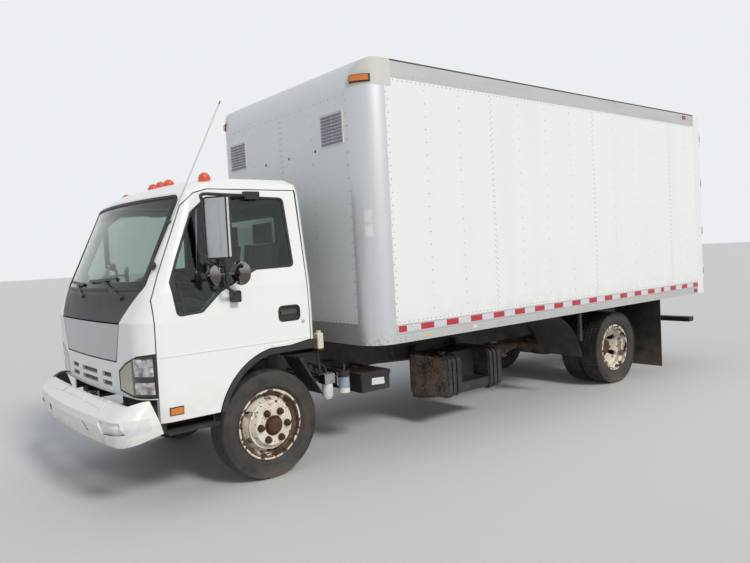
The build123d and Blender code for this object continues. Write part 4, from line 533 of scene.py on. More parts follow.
class Growth(Net):
    """A geometry tree: named inputs for its sizes, and one run that leaves a plain mesh on a body."""

    KINDS = {float: "NodeSocketFloat", int: "NodeSocketInt", bpy.types.Material: "NodeSocketMaterial"}

    def __init__(self, name, **sizes):
        super().__init__(bpy.data.node_groups.new(name, "GeometryNodeTree"))
        face = self.tree.interface
        face.new_socket("Geometry", in_out="INPUT", socket_type="NodeSocketGeometry")
        self.sockets = {}
        for size, value in sizes.items():
            made = face.new_socket(size, in_out="INPUT", socket_type=self.KINDS[type(value)])
            if not isinstance(value, bpy.types.Material):
                made.default_value = value
            self.sockets[size] = made.identifier
        face.new_socket("Geometry", in_out="OUTPUT", socket_type="NodeSocketGeometry")
        self.given = self.node("NodeGroupInput")

    def vector(self, x=0.0, y=0.0, z=0.0):
        return self.node("ShaderNodeCombineXYZ", inputs={0: x, 1: y, 2: z})

    def real(self, geometry):
        return self.node("GeometryNodeRealizeInstances", inputs={0: geometry})

    def strewn(self, points, instance, turn=(0.0, 0.0, 0.0)):
        """The instance on each point."""
        inputs = {"Points": points, "Instance": instance, "Rotation": turn}
        return self.node("GeometryNodeInstanceOnPoints", inputs=inputs)

    def close(self, geometry):
        """Make the instances real, give them their finish and lead them out."""
        dressed = self.node("GeometryNodeSetMaterial",
                            inputs={0: self.real(geometry), "Material": self.given.other("finish")})
        self.tree.links.new(dressed.socket, self.tree.nodes.new("NodeGroupOutput").inputs[0])

    def grow(self, name, body, mesh, **values):
        """Run the tree on a mesh and leave a plain one, at its place on its body."""
        mesh.transform(Matrix.Translation((0, FRONT_AXLE_Y, 0)))
        seed = placed(name + "_seed", mesh)
        run = seed.modifiers.new("growth", "NODES")
        run.node_group = self.tree
        for size, value in values.items():
            run[self.sockets[size]] = value
        graph = bpy.context.evaluated_depsgraph_get()
        plain = bpy.data.meshes.new_from_object(seed.evaluated_get(graph), depsgraph=graph)
        bpy.data.objects.remove(seed)
        plain.name = name
        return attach(placed(name, plain), body)


def points_mesh(points):
    """A mesh of loose points, for a tree to set pieces on."""
    mesh = bpy.data.meshes.new("points")
    mesh.from_pydata([tuple(point) for point in points], [], [])
    return mesh


# The rear tyres' blocks stand on rings of points, and each ring is turned a little from the next.
block_tread = Growth("block_tread", around=60, rows=5, row_turn=2.4, radius=0.3992, width=2 * TREAD_HALF,
                     block_length=0.034, block_width=0.027, block_height=0.011, finish=tyre_black)
size = block_tread.given.other
hoop = block_tread.node("GeometryNodeMeshCircle", inputs={0: size("around"), "Radius": size("radius")})
hoop = block_tread.node("GeometryNodeTransform", inputs={0: hoop, "Rotation": (0.0, math.pi / 2, 0.0)})
half_width = size("width") * 0.5
rows = block_tread.node("GeometryNodeMeshLine", {"mode": "END_POINTS"}, {
    "Count": size("rows"), "Start Location": block_tread.vector(0.0 - half_width),
    "Offset": block_tread.vector(half_width)})
turn = block_tread.vector(block_tread.node("GeometryNodeInputIndex") * size("row_turn"))
hoops = block_tread.strewn(rows, hoop, turn)
where = block_tread.node("ShaderNodeSeparateXYZ", inputs={0: block_tread.node("GeometryNodeInputPosition")})
outward = block_tread.node("FunctionNodeAlignRotationToVector", {"axis": "Z", "pivot_axis": "X"},
                           {"Vector": block_tread.vector(0.0, where.other("Y"), where.other("Z"))})
block = block_tread.node("GeometryNodeMeshCube", inputs={
    "Size": block_tread.vector(size("block_width"), size("block_length"), size("block_height"))})
tread = block_tread.strewn(block_tread.real(hoops), block, outward)
block_tread.close(block_tread.strewn(size("Geometry"), block_tread.real(tread)))
BLOCK_FOOT_RADIUS = 0.39
BLOCK_DEPTH = 0.007
for name, side in (("left_rear", 1), ("right_rear", -1)):
    carcass = Work()
    centres = [(side * (REAR_PAIR_X + shift), WHEELBASE, AXLE_Z) for shift in (TWIN_OFFSET, -TWIN_OFFSET)]
    section = [(a, r if r < BLOCK_FOOT_RADIUS else r - BLOCK_DEPTH) for a, r in tyre_profile((CROWN,))]
    for centre in centres:
        carcass.turned(section, centre)
    made = carcass.done(f"{name}_tyre_carcasses", f"{name}_wheels", tyre_black)
    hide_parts(f"{name}_tyres")
    blocks = block_tread.grow(f"{name}_tread", f"{name}_wheels", points_mesh(centres), finish=tyre_black)


# Wheels: rims and six-stud discs of pressed steel, once white, that are held on their hubs by nuts.
# Rust bleeds from the rims' wells, the hand holes and the studs, and the hubs and nuts are solid rust. The
# dark ring in each rim's recessed well is partly rust and partly painted shade.
def wheel_finish(name, axle_y, face_x, well_rust_and_shade):
    """Paint, rust and the painted shade of the rim's well by the distance from the axle, with the studs
    standing out of the disc's face.
    """
    wheel = Finish(name, (0.78, 0.72, 0.61), 0.5)
    reach = ((wheel.y - axle_y) ** 2.0 + (wheel.z - AXLE_Z) ** 2.0) ** 0.5
    out = abs(wheel.x)
    wheel.mottle(15.0, 8.0, 0.44, 0.68, 0.4, (0.55, 0.43, 0.29), 0.75, seed=5.0)
    rim = wheel.rise(reach, 0.2, 0.23) * 0.16
    holes = wheel.within(reach, 0.155, 0.205, 0.015) * 0.07
    hub = wheel.fall(reach, 0.07, 0.076) * 0.7
    studs = wheel.within(reach, 0.08, 0.137, 0.01) * wheel.rise(out, face_x + 0.001, face_x + 0.004)
    patches = wheel.rise(wheel.noise(19.0, 9.0, seed=1.0) + rim + holes + hub + studs, 0.685, 0.72)
    brown = wheel.tone(wheel.noise(40.0, 6.0), (0.03, 0.016, 0.011), (0.12, 0.052, 0.025))
    wheel.coat(patches, brown, 0.9, 0.0, -0.0005)
    # Rust and painted shade: the recessed well of the rim is covered nearly all round in dark brown.
    well_rust_and_shade_mask = wheel.rise(wheel.noise(8.0, 7.0, seed=6.0) + well_rust_and_shade, 0.5, 0.64)
    wheel.coat(wheel.within(reach, 0.209, 0.2465, 0.003) * well_rust_and_shade_mask * 0.94, brown, 0.9)
    wheel.coat(wheel.cloud(70.0, 4.0, 0.62, 0.68, seed=9.0), (0.13, 0.055, 0.025), 0.9)
    wheel.coat(wheel.rise(reach, 0.2555, 0.258) * 0.6, (0.3, 0.24, 0.18), 0.9)
    wheel.grain(180.0, 0.0004)
    return wheel.done()


front_wheel_paint = wheel_finish("front_wheel_paint", 0.0, 0.959, 0.18)
rear_wheel_paint = wheel_finish("rear_wheel_paint", WHEELBASE, 0.837, -0.02)
paint(front_wheel_paint, "left_front_wheel", "right_front_wheel")
paint(rear_wheel_paint, "left_rear_wheels", "right_rear_wheels")

# Van body: an aluminium frame skinned with white panels, with a round nose, round corner posts and cast caps.
# The skins are riveted to posts every 405 mm, and plywood lines the inside.
BOX_FRONT_Y = 0.797
HALF_BOX = 1.219
panel_white = Finish("panel_white", (0.83, 0.84, 0.82), 0.36, Coat_Weight=0.15)
streaks = panel_white.cloud(2.6, 7.0, 0.48, 0.78, stretch=(1.0, 1.0, 0.05))
panel_white.coat(streaks * 0.12, (0.62, 0.6, 0.55), 0.5)
low_down = panel_white.fall(panel_white.z, 1.03, 1.25)
panel_white.coat(low_down * panel_white.cloud(9.0, 6.0, 0.3, 0.7) * 0.22, (0.55, 0.51, 0.44), 0.7)
scuffs = panel_white.cloud(30.0, 7.0, 0.71, 0.75, stretch=(1.0, 0.3, 1.0), seed=4.0)
panel_white.coat(scuffs * 0.16, (0.45, 0.44, 0.42), 0.7)
kick = panel_white.fall(panel_white.z, 1.066, 1.07) * panel_white.fall(panel_white.y, 0.85, 0.86)
kick_speckle = panel_white.tone(panel_white.noise(90.0, 6.0), (0.25, 0.235, 0.215), (0.42, 0.405, 0.38))
panel_white.coat(kick * 0.92, kick_speckle, 0.85)
VENT_X = (0.646, 0.95)
VENT_Z = (2.524, 2.789)
vent = panel_white.within(abs(panel_white.x), *VENT_X, 0.0008)
vent = vent * panel_white.within(panel_white.z, *VENT_Z, 0.0008)
vent = vent * panel_white.fall(panel_white.y, 0.7955, 0.7965)
panel_white.coat(vent, (0.56, 0.56, 0.565), 0.45, 0.3)
# Painted shade: the louvre slots set back in the vent plates are darkened to a blue grey.
panel_white.coat(vent * panel_white.fall(panel_white.y, 0.788, 0.7885), (0.2, 0.21, 0.25), 0.45, 0.5)
panel_white.relief = panel_white.noise(1.6, 1.0) * 0.004 + panel_white.noise(300.0) * 0.00008
PLY_FRONT_Y = 0.82
PLY_WIDTH = 1.22
ply = panel_white.tone(panel_white.noise(4.0, 6.0, (1.0, 1.0, 9.0)), (0.46, 0.32, 0.18), (0.6, 0.44, 0.27))
sheets = panel_white.math("FRACT", (panel_white.y - PLY_FRONT_Y) / PLY_WIDTH)
ply = panel_white.tone(panel_white.within(sheets, 0.004, 0.008, 0.002), ply, (0.12, 0.08, 0.05))
lined = panel_white.inward((0.0, 3.5, 2.0)) * panel_white.rise(panel_white.y, 0.834, 0.836)
panel_white.coat(lined, ply, 0.7)
paint(panel_white.done(), "box_side_walls", "box_front_wall")
roof_white = Finish("roof_white", (0.78, 0.79, 0.78), 0.45)
roof_white.mottle(3.0, 7.0, 0.45, 0.8, 0.4, (0.6, 0.58, 0.52), 0.7)
roof_white.relief = roof_white.noise(4.0, 2.0) * 0.003
paint(roof_white.done(), "box_roof")
satin_aluminium = Finish("satin_aluminium", (0.66, 0.67, 0.685), 0.38, 0.7)
brushing = satin_aluminium.noise(90.0, 3.0, (1.0, 1.0, 0.03))
satin_aluminium.coat(brushing * 0.5, (0.58, 0.59, 0.605), 0.46)
post_foot = satin_aluminium.fall(satin_aluminium.z, 0.9, 1.02)
satin_aluminium.coat(post_foot * satin_aluminium.cloud(34.0, 6.0, 0.5, 0.62) * 0.5, (0.3, 0.24, 0.18), 0.8)
paint(satin_aluminium.done(), "box_nose", "box_corner_posts")
rail_grey = Finish("rail_grey", (0.56, 0.56, 0.55), 0.5, 0.4)
rail_grey.mottle(12.0, 6.0, 0.4, 0.8, 0.3, (0.42, 0.41, 0.385), 0.6, stretch=(0.3, 0.15, 1.0))
rail_grey.coat(rail_grey.rise(rail_grey.z, 3.15, 3.153) * 0.9, (0.035, 0.035, 0.036), 0.7)
paint(rail_grey.done(), "box_rails")
frame_white = Finish("frame_white", (0.8, 0.8, 0.78), 0.38, Coat_Weight=0.15)
frame_white.mottle(5.0, 7.0, 0.5, 0.8, 0.18, (0.6, 0.57, 0.5), 0.6, stretch=(1.0, 1.0, 0.12))
frame_white.rust(0.74, 0.79, 20.0)
paint(frame_white.done(), "box_rear_frame")
REAR_DOOR_FACE_Y = 6.319
door_white = Finish("rear_door_white", (0.82, 0.82, 0.8), 0.36, Coat_Weight=0.15)
door_white.mottle(4.0, 7.0, 0.5, 0.8, 0.15, (0.6, 0.57, 0.5), 0.6, stretch=(1.0, 1.0, 0.08))
door_white.coat(door_white.fall(door_white.y, 6.284, 6.286), (0.55, 0.42, 0.27), 0.7)
ironwork = door_white.rise(door_white.y, REAR_DOOR_FACE_Y + 0.001, REAR_DOOR_FACE_Y + 0.0016)
zinc = door_white.tone(door_white.noise(30.0, 5.0), (0.5, 0.51, 0.52), (0.36, 0.36, 0.36))
door_white.coat(ironwork, zinc, 0.45, 0.8)
door_white.coat(ironwork * door_white.cloud(28.0, 7.0, 0.62, 0.68), (0.17, 0.08, 0.035), 0.9, 0.0)
paint(door_white.done(), "left_rear_door", "right_rear_door")
cap_white = mottled("cap_white", (0.64, 0.63, 0.58), 0.45,
                    12.0, 7.0, 0.5, 0.8, 0.3, (0.48, 0.46, 0.41), 0.6)
paint(cap_white, "box_corner_caps")
deck_wood = Finish("deck_wood", (0.36, 0.24, 0.14), 0.7)
deck_wood.coat(deck_wood.noise(3.0, 7.0, (14.0, 0.8, 1.0)), (0.22, 0.15, 0.09), 0.8)
deck_wood.mottle(2.0, 5.0, 0.5, 0.7, 0.5, (0.12, 0.1, 0.08), 0.75)
paint(deck_wood.done(), "box_deck")

# Rivets and bolts of the van body: small aluminium heads, pulled up in rows along posts, seams and flanges,
# and pairs of bolts through the lower rail. A tree sets them at an even pitch, facing out of their panel.
rivet_steel = mottled("rivet_steel", (0.5, 0.5, 0.49), 0.5,
                      60.0, 4.0, 0.5, 0.7, 0.6, (0.24, 0.22, 0.2), 0.8, metallic=0.6)
rivet_rows = Growth("rivet_rows", pitch=0.05, head_radius=0.006, head_height=0.0025, sides=8,
                    finish=rivet_steel)
size = rivet_rows.given.other
lines = rivet_rows.node("GeometryNodeMeshToCurve", inputs={0: size("Geometry")})
spots = rivet_rows.node("GeometryNodeCurveToPoints", {"mode": "LENGTH"}, {0: lines, "Length": size("pitch")})
facing = rivet_rows.node("GeometryNodeInputNamedAttribute", {"data_type": "FLOAT_VECTOR"}, {"Name": "facing"})
turn = rivet_rows.node("FunctionNodeAlignRotationToVector", {"axis": "Z"}, {"Vector": facing})
head = rivet_rows.node("GeometryNodeMeshCone", inputs={
    "Vertices": size("sides"), "Radius Top": size("head_radius") * 0.55, "Radius Bottom": size("head_radius"),
    "Depth": size("head_height")})
rivet_rows.close(rivet_rows.strewn(spots, head, turn))


def rivet_lines(runs):
    """A mesh of one edge for each (start, end, facing) run, with the facing kept on its points."""
    mesh = bpy.data.meshes.new("runs")
    points = [point for run in runs for point in run[:2]]
    mesh.from_pydata([tuple(point) for point in points], [(k, k + 1) for k in range(0, len(points), 2)], [])
    facing = mesh.attributes.new("facing", "FLOAT_VECTOR", "POINT")
    for k, run in enumerate(runs):
        facing.data[2 * k].vector = run[2]
        facing.data[2 * k + 1].vector = run[2]
    return mesh


FIRST_POST_Y = 1.0455
POST_PITCH = 0.4055
POST_COUNT = 12
SEAM_POSTS = (3, 7, 11)
SEAM_LAP = 0.022
SIDE_END_Y = 6.15
PROUD = 0.0003
close_runs, wide_runs = [], []
for side in (1, -1):
    x = side * (HALF_BOX + PROUD)
    out = (side, 0, 0)
    for k in range(1, POST_COUNT + 1):
        y = FIRST_POST_Y + POST_PITCH * k
        if k in SEAM_POSTS:
            close_runs.append(((x, y, 1.09), (x, y, 2.99), out))
            close_runs.append(((x, y + SEAM_LAP, 1.115), (x, y + SEAM_LAP, 2.965), out))
        else:
            wide_runs.append(((x, y, 1.15), (x, y, 2.95), out))
    for y, z in ((1.06, 1.066), (1.11, 3.003)):
        close_runs.append(((x, y, z), (x, SIDE_END_Y, z), out))
    for y, low_z, high_z in ((1.032, 1.11, 2.9), (1.047, 1.16, 2.95)):
        wide_runs.append(((x, y, low_z), (x, y, high_z), out))
    wide_runs += [((x, 1.13, 3.045), (x, SIDE_END_Y, 3.045), out), ((x, 6.181, 1.08), (x, 6.181, 3.1), out)]
front = (0, -1, 0)
y = BOX_FRONT_Y - PROUD
for x in (0.0, SEAM_LAP, -SEAM_LAP):
    close_runs.append(((x, y, 1.1 + abs(x)), (x, y, 2.86), front))
for x in (0.495, -0.495):
    wide_runs.append(((x, y, 1.15), (x, y, 2.83), front))
for x in (0.982, 1.003, -0.982, -1.003):
    wide_runs.append(((x, y, 0.95 + abs(x) * 0.05), (x, y, 2.86), front))
close_runs.append(((-0.97, y, 1.085), (0.97, y, 1.085), front))
wide_runs.append(((-0.96, y, 2.905), (0.96, y, 2.905), front))
rivet_rows.grow("close_rivets", "chassis", rivet_lines(close_runs), pitch=0.05, finish=rivet_steel)
rivet_rows.grow("wide_rivets", "chassis", rivet_lines(wide_runs), pitch=0.101, finish=rivet_steel)
RAIL_BOLTS_Y = (1.058, 1.114, 1.53, 1.886, 2.263, 2.642, 2.94, 3.32, 3.7, 4.07, 4.45, 4.82, 5.2, 5.58, 5.96)
bolt_runs = []
for side in (1, -1):
    x = side * (HALF_BOX - 0.0005)
    bolt_runs += [((x, y, 0.915), (x, y, 0.944), (side, 0, 0)) for y in RAIL_BOLTS_Y]
rivet_rows.grow("rail_bolts", "chassis", rivet_lines(bolt_runs), pitch=0.0285, head_radius=0.008,
                head_height=0.0035, sides=6, finish=rivet_steel)

# Reflecting tape: red and white blocks stuck along the lower rail on both sides, with a honeycomb in its film
# and scuffs. A short block near the back shows where two rolls meet.
TAPE_LOW_Z = 0.985
TAPE_HIGH_Z = 1.035
RED_BLOCKS = (
    # front edge, rear edge
    (1.044, 1.130), (1.287, 1.438), (1.587, 1.735), (1.890, 2.040), (2.195, 2.345), (2.495, 2.645),
    (2.798, 2.952), (3.106, 3.257), (3.412, 3.560), (3.719, 3.865), (4.016, 4.163), (4.321, 4.467),
    (4.625, 4.770), (4.922, 5.071), (5.223, 5.294), (5.447, 5.591), (5.739, 5.879), (6.038, 6.165),
)


def tape_finish(name, colour, worn):
    """A bright film over small cells, with scuffs in its worn colour."""
    tape = Finish(name, colour, 0.3, Coat_Weight=0.4)
    tape.coat(tape.rise(tape.cells(420.0), 0.3, 0.6) * 0.25, worn, 0.45)
    tape.mottle(70.0, 7.0, 0.6, 0.66, 0.7, worn, 0.7)
    return tape.done()


tape_red = tape_finish("tape_red", (0.52, 0.012, 0.035), (0.3, 0.05, 0.06))
tape_white = tape_finish("tape_white", (0.66, 0.68, 0.7), (0.5, 0.49, 0.47))
tape = Work()
for side in (1, -1):
    low_x, high_x = sorted((side * HALF_BOX, side * (HALF_BOX + 0.0006)))
    for start, stop in RED_BLOCKS:
        tape.box((low_x, start + 0.0005, TAPE_LOW_Z), (high_x, stop - 0.0005, TAPE_HIGH_Z), 0)
    for red, next_red in zip(RED_BLOCKS, RED_BLOCKS[1:]):
        tape.box((low_x, red[1], TAPE_LOW_Z), (high_x, next_red[0], TAPE_HIGH_Z), 1)
tape.done("rail_tape", "chassis", tape_red, tape_white)

# Lamps, plugs and blank labels of the van body: amber lamps on the front corner caps, red ones at the back.
# Each moulded lens sits on a dark base that is screwed to its panel, and the labels are stuck on.
amber_lens = Finish("amber_lens", (0.72, 0.2, 0.02), 0.2, Coat_Weight=0.6, Subsurface_Weight=0.15)
amber_lens.mottle(60.0, 4.0, 0.5, 0.75, 0.4, (0.5, 0.15, 0.03), 0.4)
amber_lens.relief = amber_lens.math("SINE", amber_lens.z * 900.0) * 0.0004
amber_lens = amber_lens.done()
marker_red = Finish("marker_red", (0.5, 0.02, 0.015), 0.2, Coat_Weight=0.6, Subsurface_Weight=0.1)
marker_red.mottle(60.0, 4.0, 0.5, 0.75, 0.4, (0.3, 0.03, 0.02), 0.4)
marker_red.relief = marker_red.cells(120.0) * 0.0008
marker_red = marker_red.done()
base_black = mottled("lamp_base_black", (0.025, 0.025, 0.026), 0.5,
                     50.0, 4.0, 0.45, 0.7, 0.4, (0.12, 0.1, 0.08), 0.8)
label_grey = mottled("label_grey", (0.5, 0.51, 0.5), 0.5,
                     50.0, 7.0, 0.45, 0.7, 0.5, (0.66, 0.66, 0.64), 0.6)
label_yellow = mottled("label_yellow", (0.62, 0.5, 0.16), 0.5,
                       50.0, 7.0, 0.5, 0.7, 0.5, (0.4, 0.36, 0.25), 0.7)
body_skin = Skin("box_corner_caps", "box_corner_posts", "box_rails", "box_front_wall", "box_rear_frame",
                 "box_side_walls")
# Places clear of the truck, from where a piece is moved inwards until it meets its panel
BESIDE_X = 1.4
BEHIND_Y = 7.0
AHEAD_Y = -1.4


def upright(middle, along, width, height):
    """Four corners of an upright sheet about its middle, with its width along a level line."""
    middle, half = Vector(middle), Vector((along[0], along[1], 0)).normalized() * width / 2
    rise = Vector((0, 0, height / 2))
    return middle - half - rise, middle + half - rise, middle + half + rise, middle - half + rise


def fit_lamp(work, skin, middle, along, ahead, lens, sheets):
    """A dark base with a lens on it: each sheet is given as (width, height, lift, steps)."""
    for (width, height, lift, steps), finish in zip(sheets, (0, lens)):
        work.patch(skin, upright(middle, along, width, height), ahead, lift, steps, finish)


CORNER_LAMP = ((0.17, 0.062, 0.007, (8, 3)), (0.14, 0.044, 0.022, (8, 4)))
SIDE_MARKER = ((0.085, 0.042, 0.002, (3, 2)), (0.07, 0.028, 0.0036, (3, 2)))
TOP_LAMP = ((0.11, 0.045, 0.006, (3, 2)), (0.09, 0.03, 0.02, (3, 2)))
lamps = Work()
for side in (1, -1):
    along, ahead = (0.81, 0.59 * side), (-0.59 * side, 0.81, 0)
    fit_lamp(lamps, body_skin, (side * 1.26, 0.66, 3.003), along, ahead, 1, CORNER_LAMP)
    for y, z in ((5.93, 3.112), (6.1, 0.935)):
        fit_lamp(lamps, body_skin, (side * BESIDE_X, y, z), (0, 1), (-side, 0, 0), 2, SIDE_MARKER)
    tail_lamp = (side * 1.155, BEHIND_Y, 0.985)
    lamps.boss(body_skin, tail_lamp, (0, -1, 0), 0.05, 0.008)
    lamps.boss(body_skin, tail_lamp, (0, -1, 0), 0.042, 0.012, 0.008, 2)
for x in (-1.0, -0.15, 0.0, 0.15, 1.0):
    fit_lamp(lamps, body_skin, (x, BEHIND_Y, 3.1), (1, 0), (0, -1, 0), 2, TOP_LAMP)
lamps.done("body_lamps", "chassis", base_black, amber_lens, marker_red)

LABEL_LIFT = 0.0006
labels = Work()
for z, height in ((1.928, 0.092), (1.812, 0.094)):
    label = upright((1.28, 0.68, z), (0.78, 0.62), 0.062, height)
    labels.patch(body_skin, label, (-0.62, 0.78, 0), LABEL_LIFT, (6, 4))
for y, z, width, height, finish in ((1.2575, 0.942, 0.105, 0.022, 1), (1.365, 0.929, 0.06, 0.024, 2),
                                    (1.94, 0.938, 0.05, 0.026, 0)):
    label = upright((BESIDE_X, y, z), (0, 1), width, height)
    labels.patch(body_skin, label, (-1, 0, 0), LABEL_LIFT, (2, 2), finish)
labels.done("body_labels", "chassis", plate_white, label_grey, label_yellow)
plugs = Work()
for x, z in ((0.543, 2.516), (0.126, 2.511), (-0.279, 2.509)):
    plugs.boss(body_skin, (x, 0.0, z), (0, 1, 0), 0.011, 0.003, 0.002, 0, 12)
plugs.done("wall_plugs", "chassis", base_black)

# Rear door seals: black rubber strips clamped round the edge of each leaf, which press on the frame.
# They ride on their doors.
SEAL_WIDTH = 0.018
SEAL_LOW_Z = 1.05
SEAL_HIGH_Z = 3.005
for name, side in (("left_rear_door", 1), ("right_rear_door", -1)):
    left, right = sorted((side * 0.006, side * 1.088))
    face = REAR_DOOR_FACE_Y - 0.0005
    seal = Work()
    for low_x, low_z, high_x, high_z in ((left, SEAL_LOW_Z, left + SEAL_WIDTH, SEAL_HIGH_Z),
                                         (right - SEAL_WIDTH, SEAL_LOW_Z, right, SEAL_HIGH_Z),
                                         (left, SEAL_LOW_Z, right, SEAL_LOW_Z + SEAL_WIDTH),
                                         (left, SEAL_HIGH_Z - SEAL_WIDTH, right, SEAL_HIGH_Z)):
        seal.box((low_x, face, low_z), (high_x, face + 0.0018, high_z))
    seal.done(f"{name}_seal", name, base_black)

# Mudguards and flaps: black rubber sheets in front of and behind the rear wheels, dull and splashed.
# They are bolted to steel arms on the rails.
rubber_sheet = Finish("rubber_sheet", (0.024, 0.023, 0.022), 0.7)
rubber_sheet.mottle(9.0, 7.0, 0.45, 0.72, 0.35, (0.09, 0.07, 0.055), 0.95)
rubber_sheet.road_dust(0.7, 0.35)
paint(rubber_sheet.done(), "mudguards")

# Cab shell: welded steel panels in one warm white, with a dark trimmed inside, that tilt on two lugs.
# The cowl, wheel arches and wipers are black plastic, and the lid over the cooler is painted silver.
CAB_MIDDLE = (0.0, -0.22, 1.55)
HANDLE_POCKET = ((0.0805, 0.2495), (1.1725, 1.2705))
HANDLE_PADDLE = ((0.0945, 0.2355), (1.2145, 1.2495))
DOOR_FOLD_SHADE = ((-0.835, 0.33), (1.0185, 1.0212))


def on_door(finish, panel, soft_y, soft_z, outer_x):
    """1 on an upright panel of both doors, given as (front, rear) and (low, high)."""
    rows = finish.within(finish.y, *panel[0], soft_y) * finish.within(finish.z, *panel[1], soft_z)
    return rows * finish.rise(abs(finish.x), outer_x, outer_x + 0.01)


def cab_paint(name, lined):
    """The cab's white, with the dark lining of its inside, the doors' handles, a painted highlight on each
    handle's paddle and a painted shade line along each door's fold, where it is lined.
    """
    cab_white = Finish(name, (0.85, 0.85, 0.825), 0.28, Coat_Weight=0.4, Coat_Roughness=0.1)
    cab_white.mottle(5.0, 7.0, 0.5, 0.8, 0.14, (0.7, 0.68, 0.62), 0.42)
    low_down = cab_white.fall(cab_white.z, 0.55, 0.95)
    cab_white.coat(low_down * cab_white.cloud(7.0, 7.0, 0.35, 0.75) * 0.3, (0.56, 0.5, 0.41), 0.7)
    cab_white.coat(cab_white.cloud(90.0, 3.0, 0.76, 0.79, seed=2.0), (0.25, 0.13, 0.07), 0.8)
    cab_white.relief = cab_white.noise(3.0, 1.0) * 0.0015
    if lined:
        cab_white.coat(on_door(cab_white, HANDLE_POCKET, 0.001, 0.001, 0.9), (0.018, 0.018, 0.019), 0.45)
        # Painted highlight: each handle's paddle is the pocket's black plastic, painted a little lighter
        # where it stands lit out of its shaded pocket.
        cab_white.coat(on_door(cab_white, HANDLE_PADDLE, 0.001, 0.001, 0.9), (0.05, 0.05, 0.052), 0.35)
        # Painted shade: a thin grey line just under the crease bead on each door, where the fold between two
        # pressings lies in shade.
        cab_white.coat(on_door(cab_white, DOOR_FOLD_SHADE, 0.004, 0.0008, 0.93) * 0.6, (0.42, 0.41, 0.38), 0.6)
        weave = cab_white.tone(cab_white.cells(300.0), (0.05, 0.05, 0.053), (0.09, 0.09, 0.094))
        cab_white.coat(cab_white.inward(CAB_MIDDLE), weave, 0.85)
    return cab_white.done()


cab_lined = cab_paint("cab_white", True)
paint(cab_lined, "cab_front_frame", "cab_roof", "cab_back_panel", "left_door", "right_door")
paint(cab_paint("grille_white", False), "grille")
black_plastic = Finish("black_plastic", (0.02, 0.02, 0.021), 0.45)
black_plastic.mottle(8.0, 6.0, 0.45, 0.8, 0.35, (0.09, 0.082, 0.072), 0.8)
black_plastic.road_dust(0.9, 0.25)
black_plastic.relief = black_plastic.noise(350.0) * 0.00015
black_plastic = black_plastic.done()
paint(black_plastic, "cowl_panel", "wheel_arches", "wipers")
silver_paint = Finish("silver_paint", (0.5, 0.51, 0.52), 0.36, 0.6, Coat_Weight=0.3)
silver_paint.mottle(6.0, 7.0, 0.5, 0.8, 0.2, (0.44, 0.43, 0.41), 0.5)
paint(silver_paint.done(), "front_lid")
screen = Work()
screen.box((-0.545, -0.9705, 0.785), (0.545, -0.9655, 0.912))
screen.done("grille_screen", "cab", black_plastic)

# Windows: pale green glass, with a dark band printed round the windshield's edge and a tint along its top.
# Black rubber sections hold every pane in its opening.
GLASS_GREEN = (0.5, 0.585, 0.56)
glass = Finish("window_glass", GLASS_GREEN, 0.02, Transmission_Weight=1.0, IOR=1.45)
shade_band = glass.rise(glass.z, 1.96, 2.03) * glass.fall(glass.y, -0.45, -0.43)
glass.coat(shade_band * 0.75, (0.08, 0.13, 0.12))
pane = abs(glass.x)
edge = glass.math("MAXIMUM", glass.rise(pane, 0.815, 0.819), glass.fall(glass.z, 1.523, 1.527))
front_pane = glass.fall(glass.y, -0.3, -0.29) * glass.fall(pane, 0.868, 0.87)
glass.coat(edge * front_pane, (0.004, 0.004, 0.004), 0.15)
paint(glass.done(), "cab_glass")
side_glass = Finish("side_glass", GLASS_GREEN, 0.02, Transmission_Weight=1.0, IOR=1.45)
side_glass.mottle(5.0, 6.0, 0.6, 0.8, 0.1, (0.4, 0.44, 0.42), 0.1)
paint(side_glass.done(), "left_door_glass", "right_door_glass")
seal_black = mottled("seal_black", (0.012, 0.012, 0.0125), 0.5,
                     24.0, 6.0, 0.45, 0.75, 0.4, (0.07, 0.068, 0.062), 0.75)


def between(start, stop, run):
    """Points along a straight stretch, without its ends."""
    count = max(1, math.ceil((stop - start).length / run))
    return [start.lerp(stop, j / count) for j in range(1, count)]


def rounded(corners, radius, run=0.04):
    """The line round these corners, with round bends and short runs between them."""
    points = []
    for k, corner in enumerate(corners):
        here = Vector(corner)
        back, onward = Vector(corners[k - 1]) - here, Vector(corners[(k + 1) % len(corners)]) - here
        cut = max(radius / math.tan(back.angle(onward) / 2), 0.005)
        cut = min(cut, 0.45 * back.length, 0.45 * onward.length)
        start, stop = here + back.normalized() * cut, here + onward.normalized() * cut
        if points:
            points += between(points[-1], start, run)
        points += arc(start, here, stop, 6)
    return points + between(points[-1], points[0], run)


def grown(line, by):
    """A closed line moved outwards."""
    turn = sum(a.x * b.y - a.y * b.x for a, b in zip(line, line[1:] + line[:1]))
    by = by if turn > 0 else -by
    moved = []
    for k, here in enumerate(line):
        run = (line[(k + 1) % len(line)] - line[k - 1]).normalized()
        moved.append(here + Vector((run.y, -run.x)) * by)
    return moved


shell_skin = Skin("cab_front_frame", "cab_back_panel", "cab_roof", "cab_glass", "cowl_panel", "grille",
                  "headlamps")
pane_seals = Work()
WINDSHIELD = ((-0.862, 1.478), (0.862, 1.478), (0.846, 2.092), (-0.846, 2.092))
REAR_WINDOW = ((-0.56, 1.56), (0.56, 1.56), (0.54, 1.98), (-0.54, 1.98))
for corners, radius, start_y, way in ((WINDSHIELD, 0.04, AHEAD_Y, 1), (REAR_WINDOW, 0.05, 0.6, -1)):
    edge = grown(rounded(corners, radius), 0.004)
    pane_seals.bead(shell_skin, [(p.x, start_y, p.y) for p in edge], (0, way, 0), 0.026, 0.006)
pane_seals.done("pane_seals", "cab", seal_black)

# Doors: pressed steel leaves with a sealed drop window, a sunk black handle, a lock and an amber marker.
# The trim is pressed or screwed on and rides on its door.
trim_bright = mottled("trim_bright", (0.6, 0.61, 0.62), 0.25,
                      50.0, 6.0, 0.5, 0.7, 0.4, (0.42, 0.42, 0.41), 0.5, metallic=0.9)
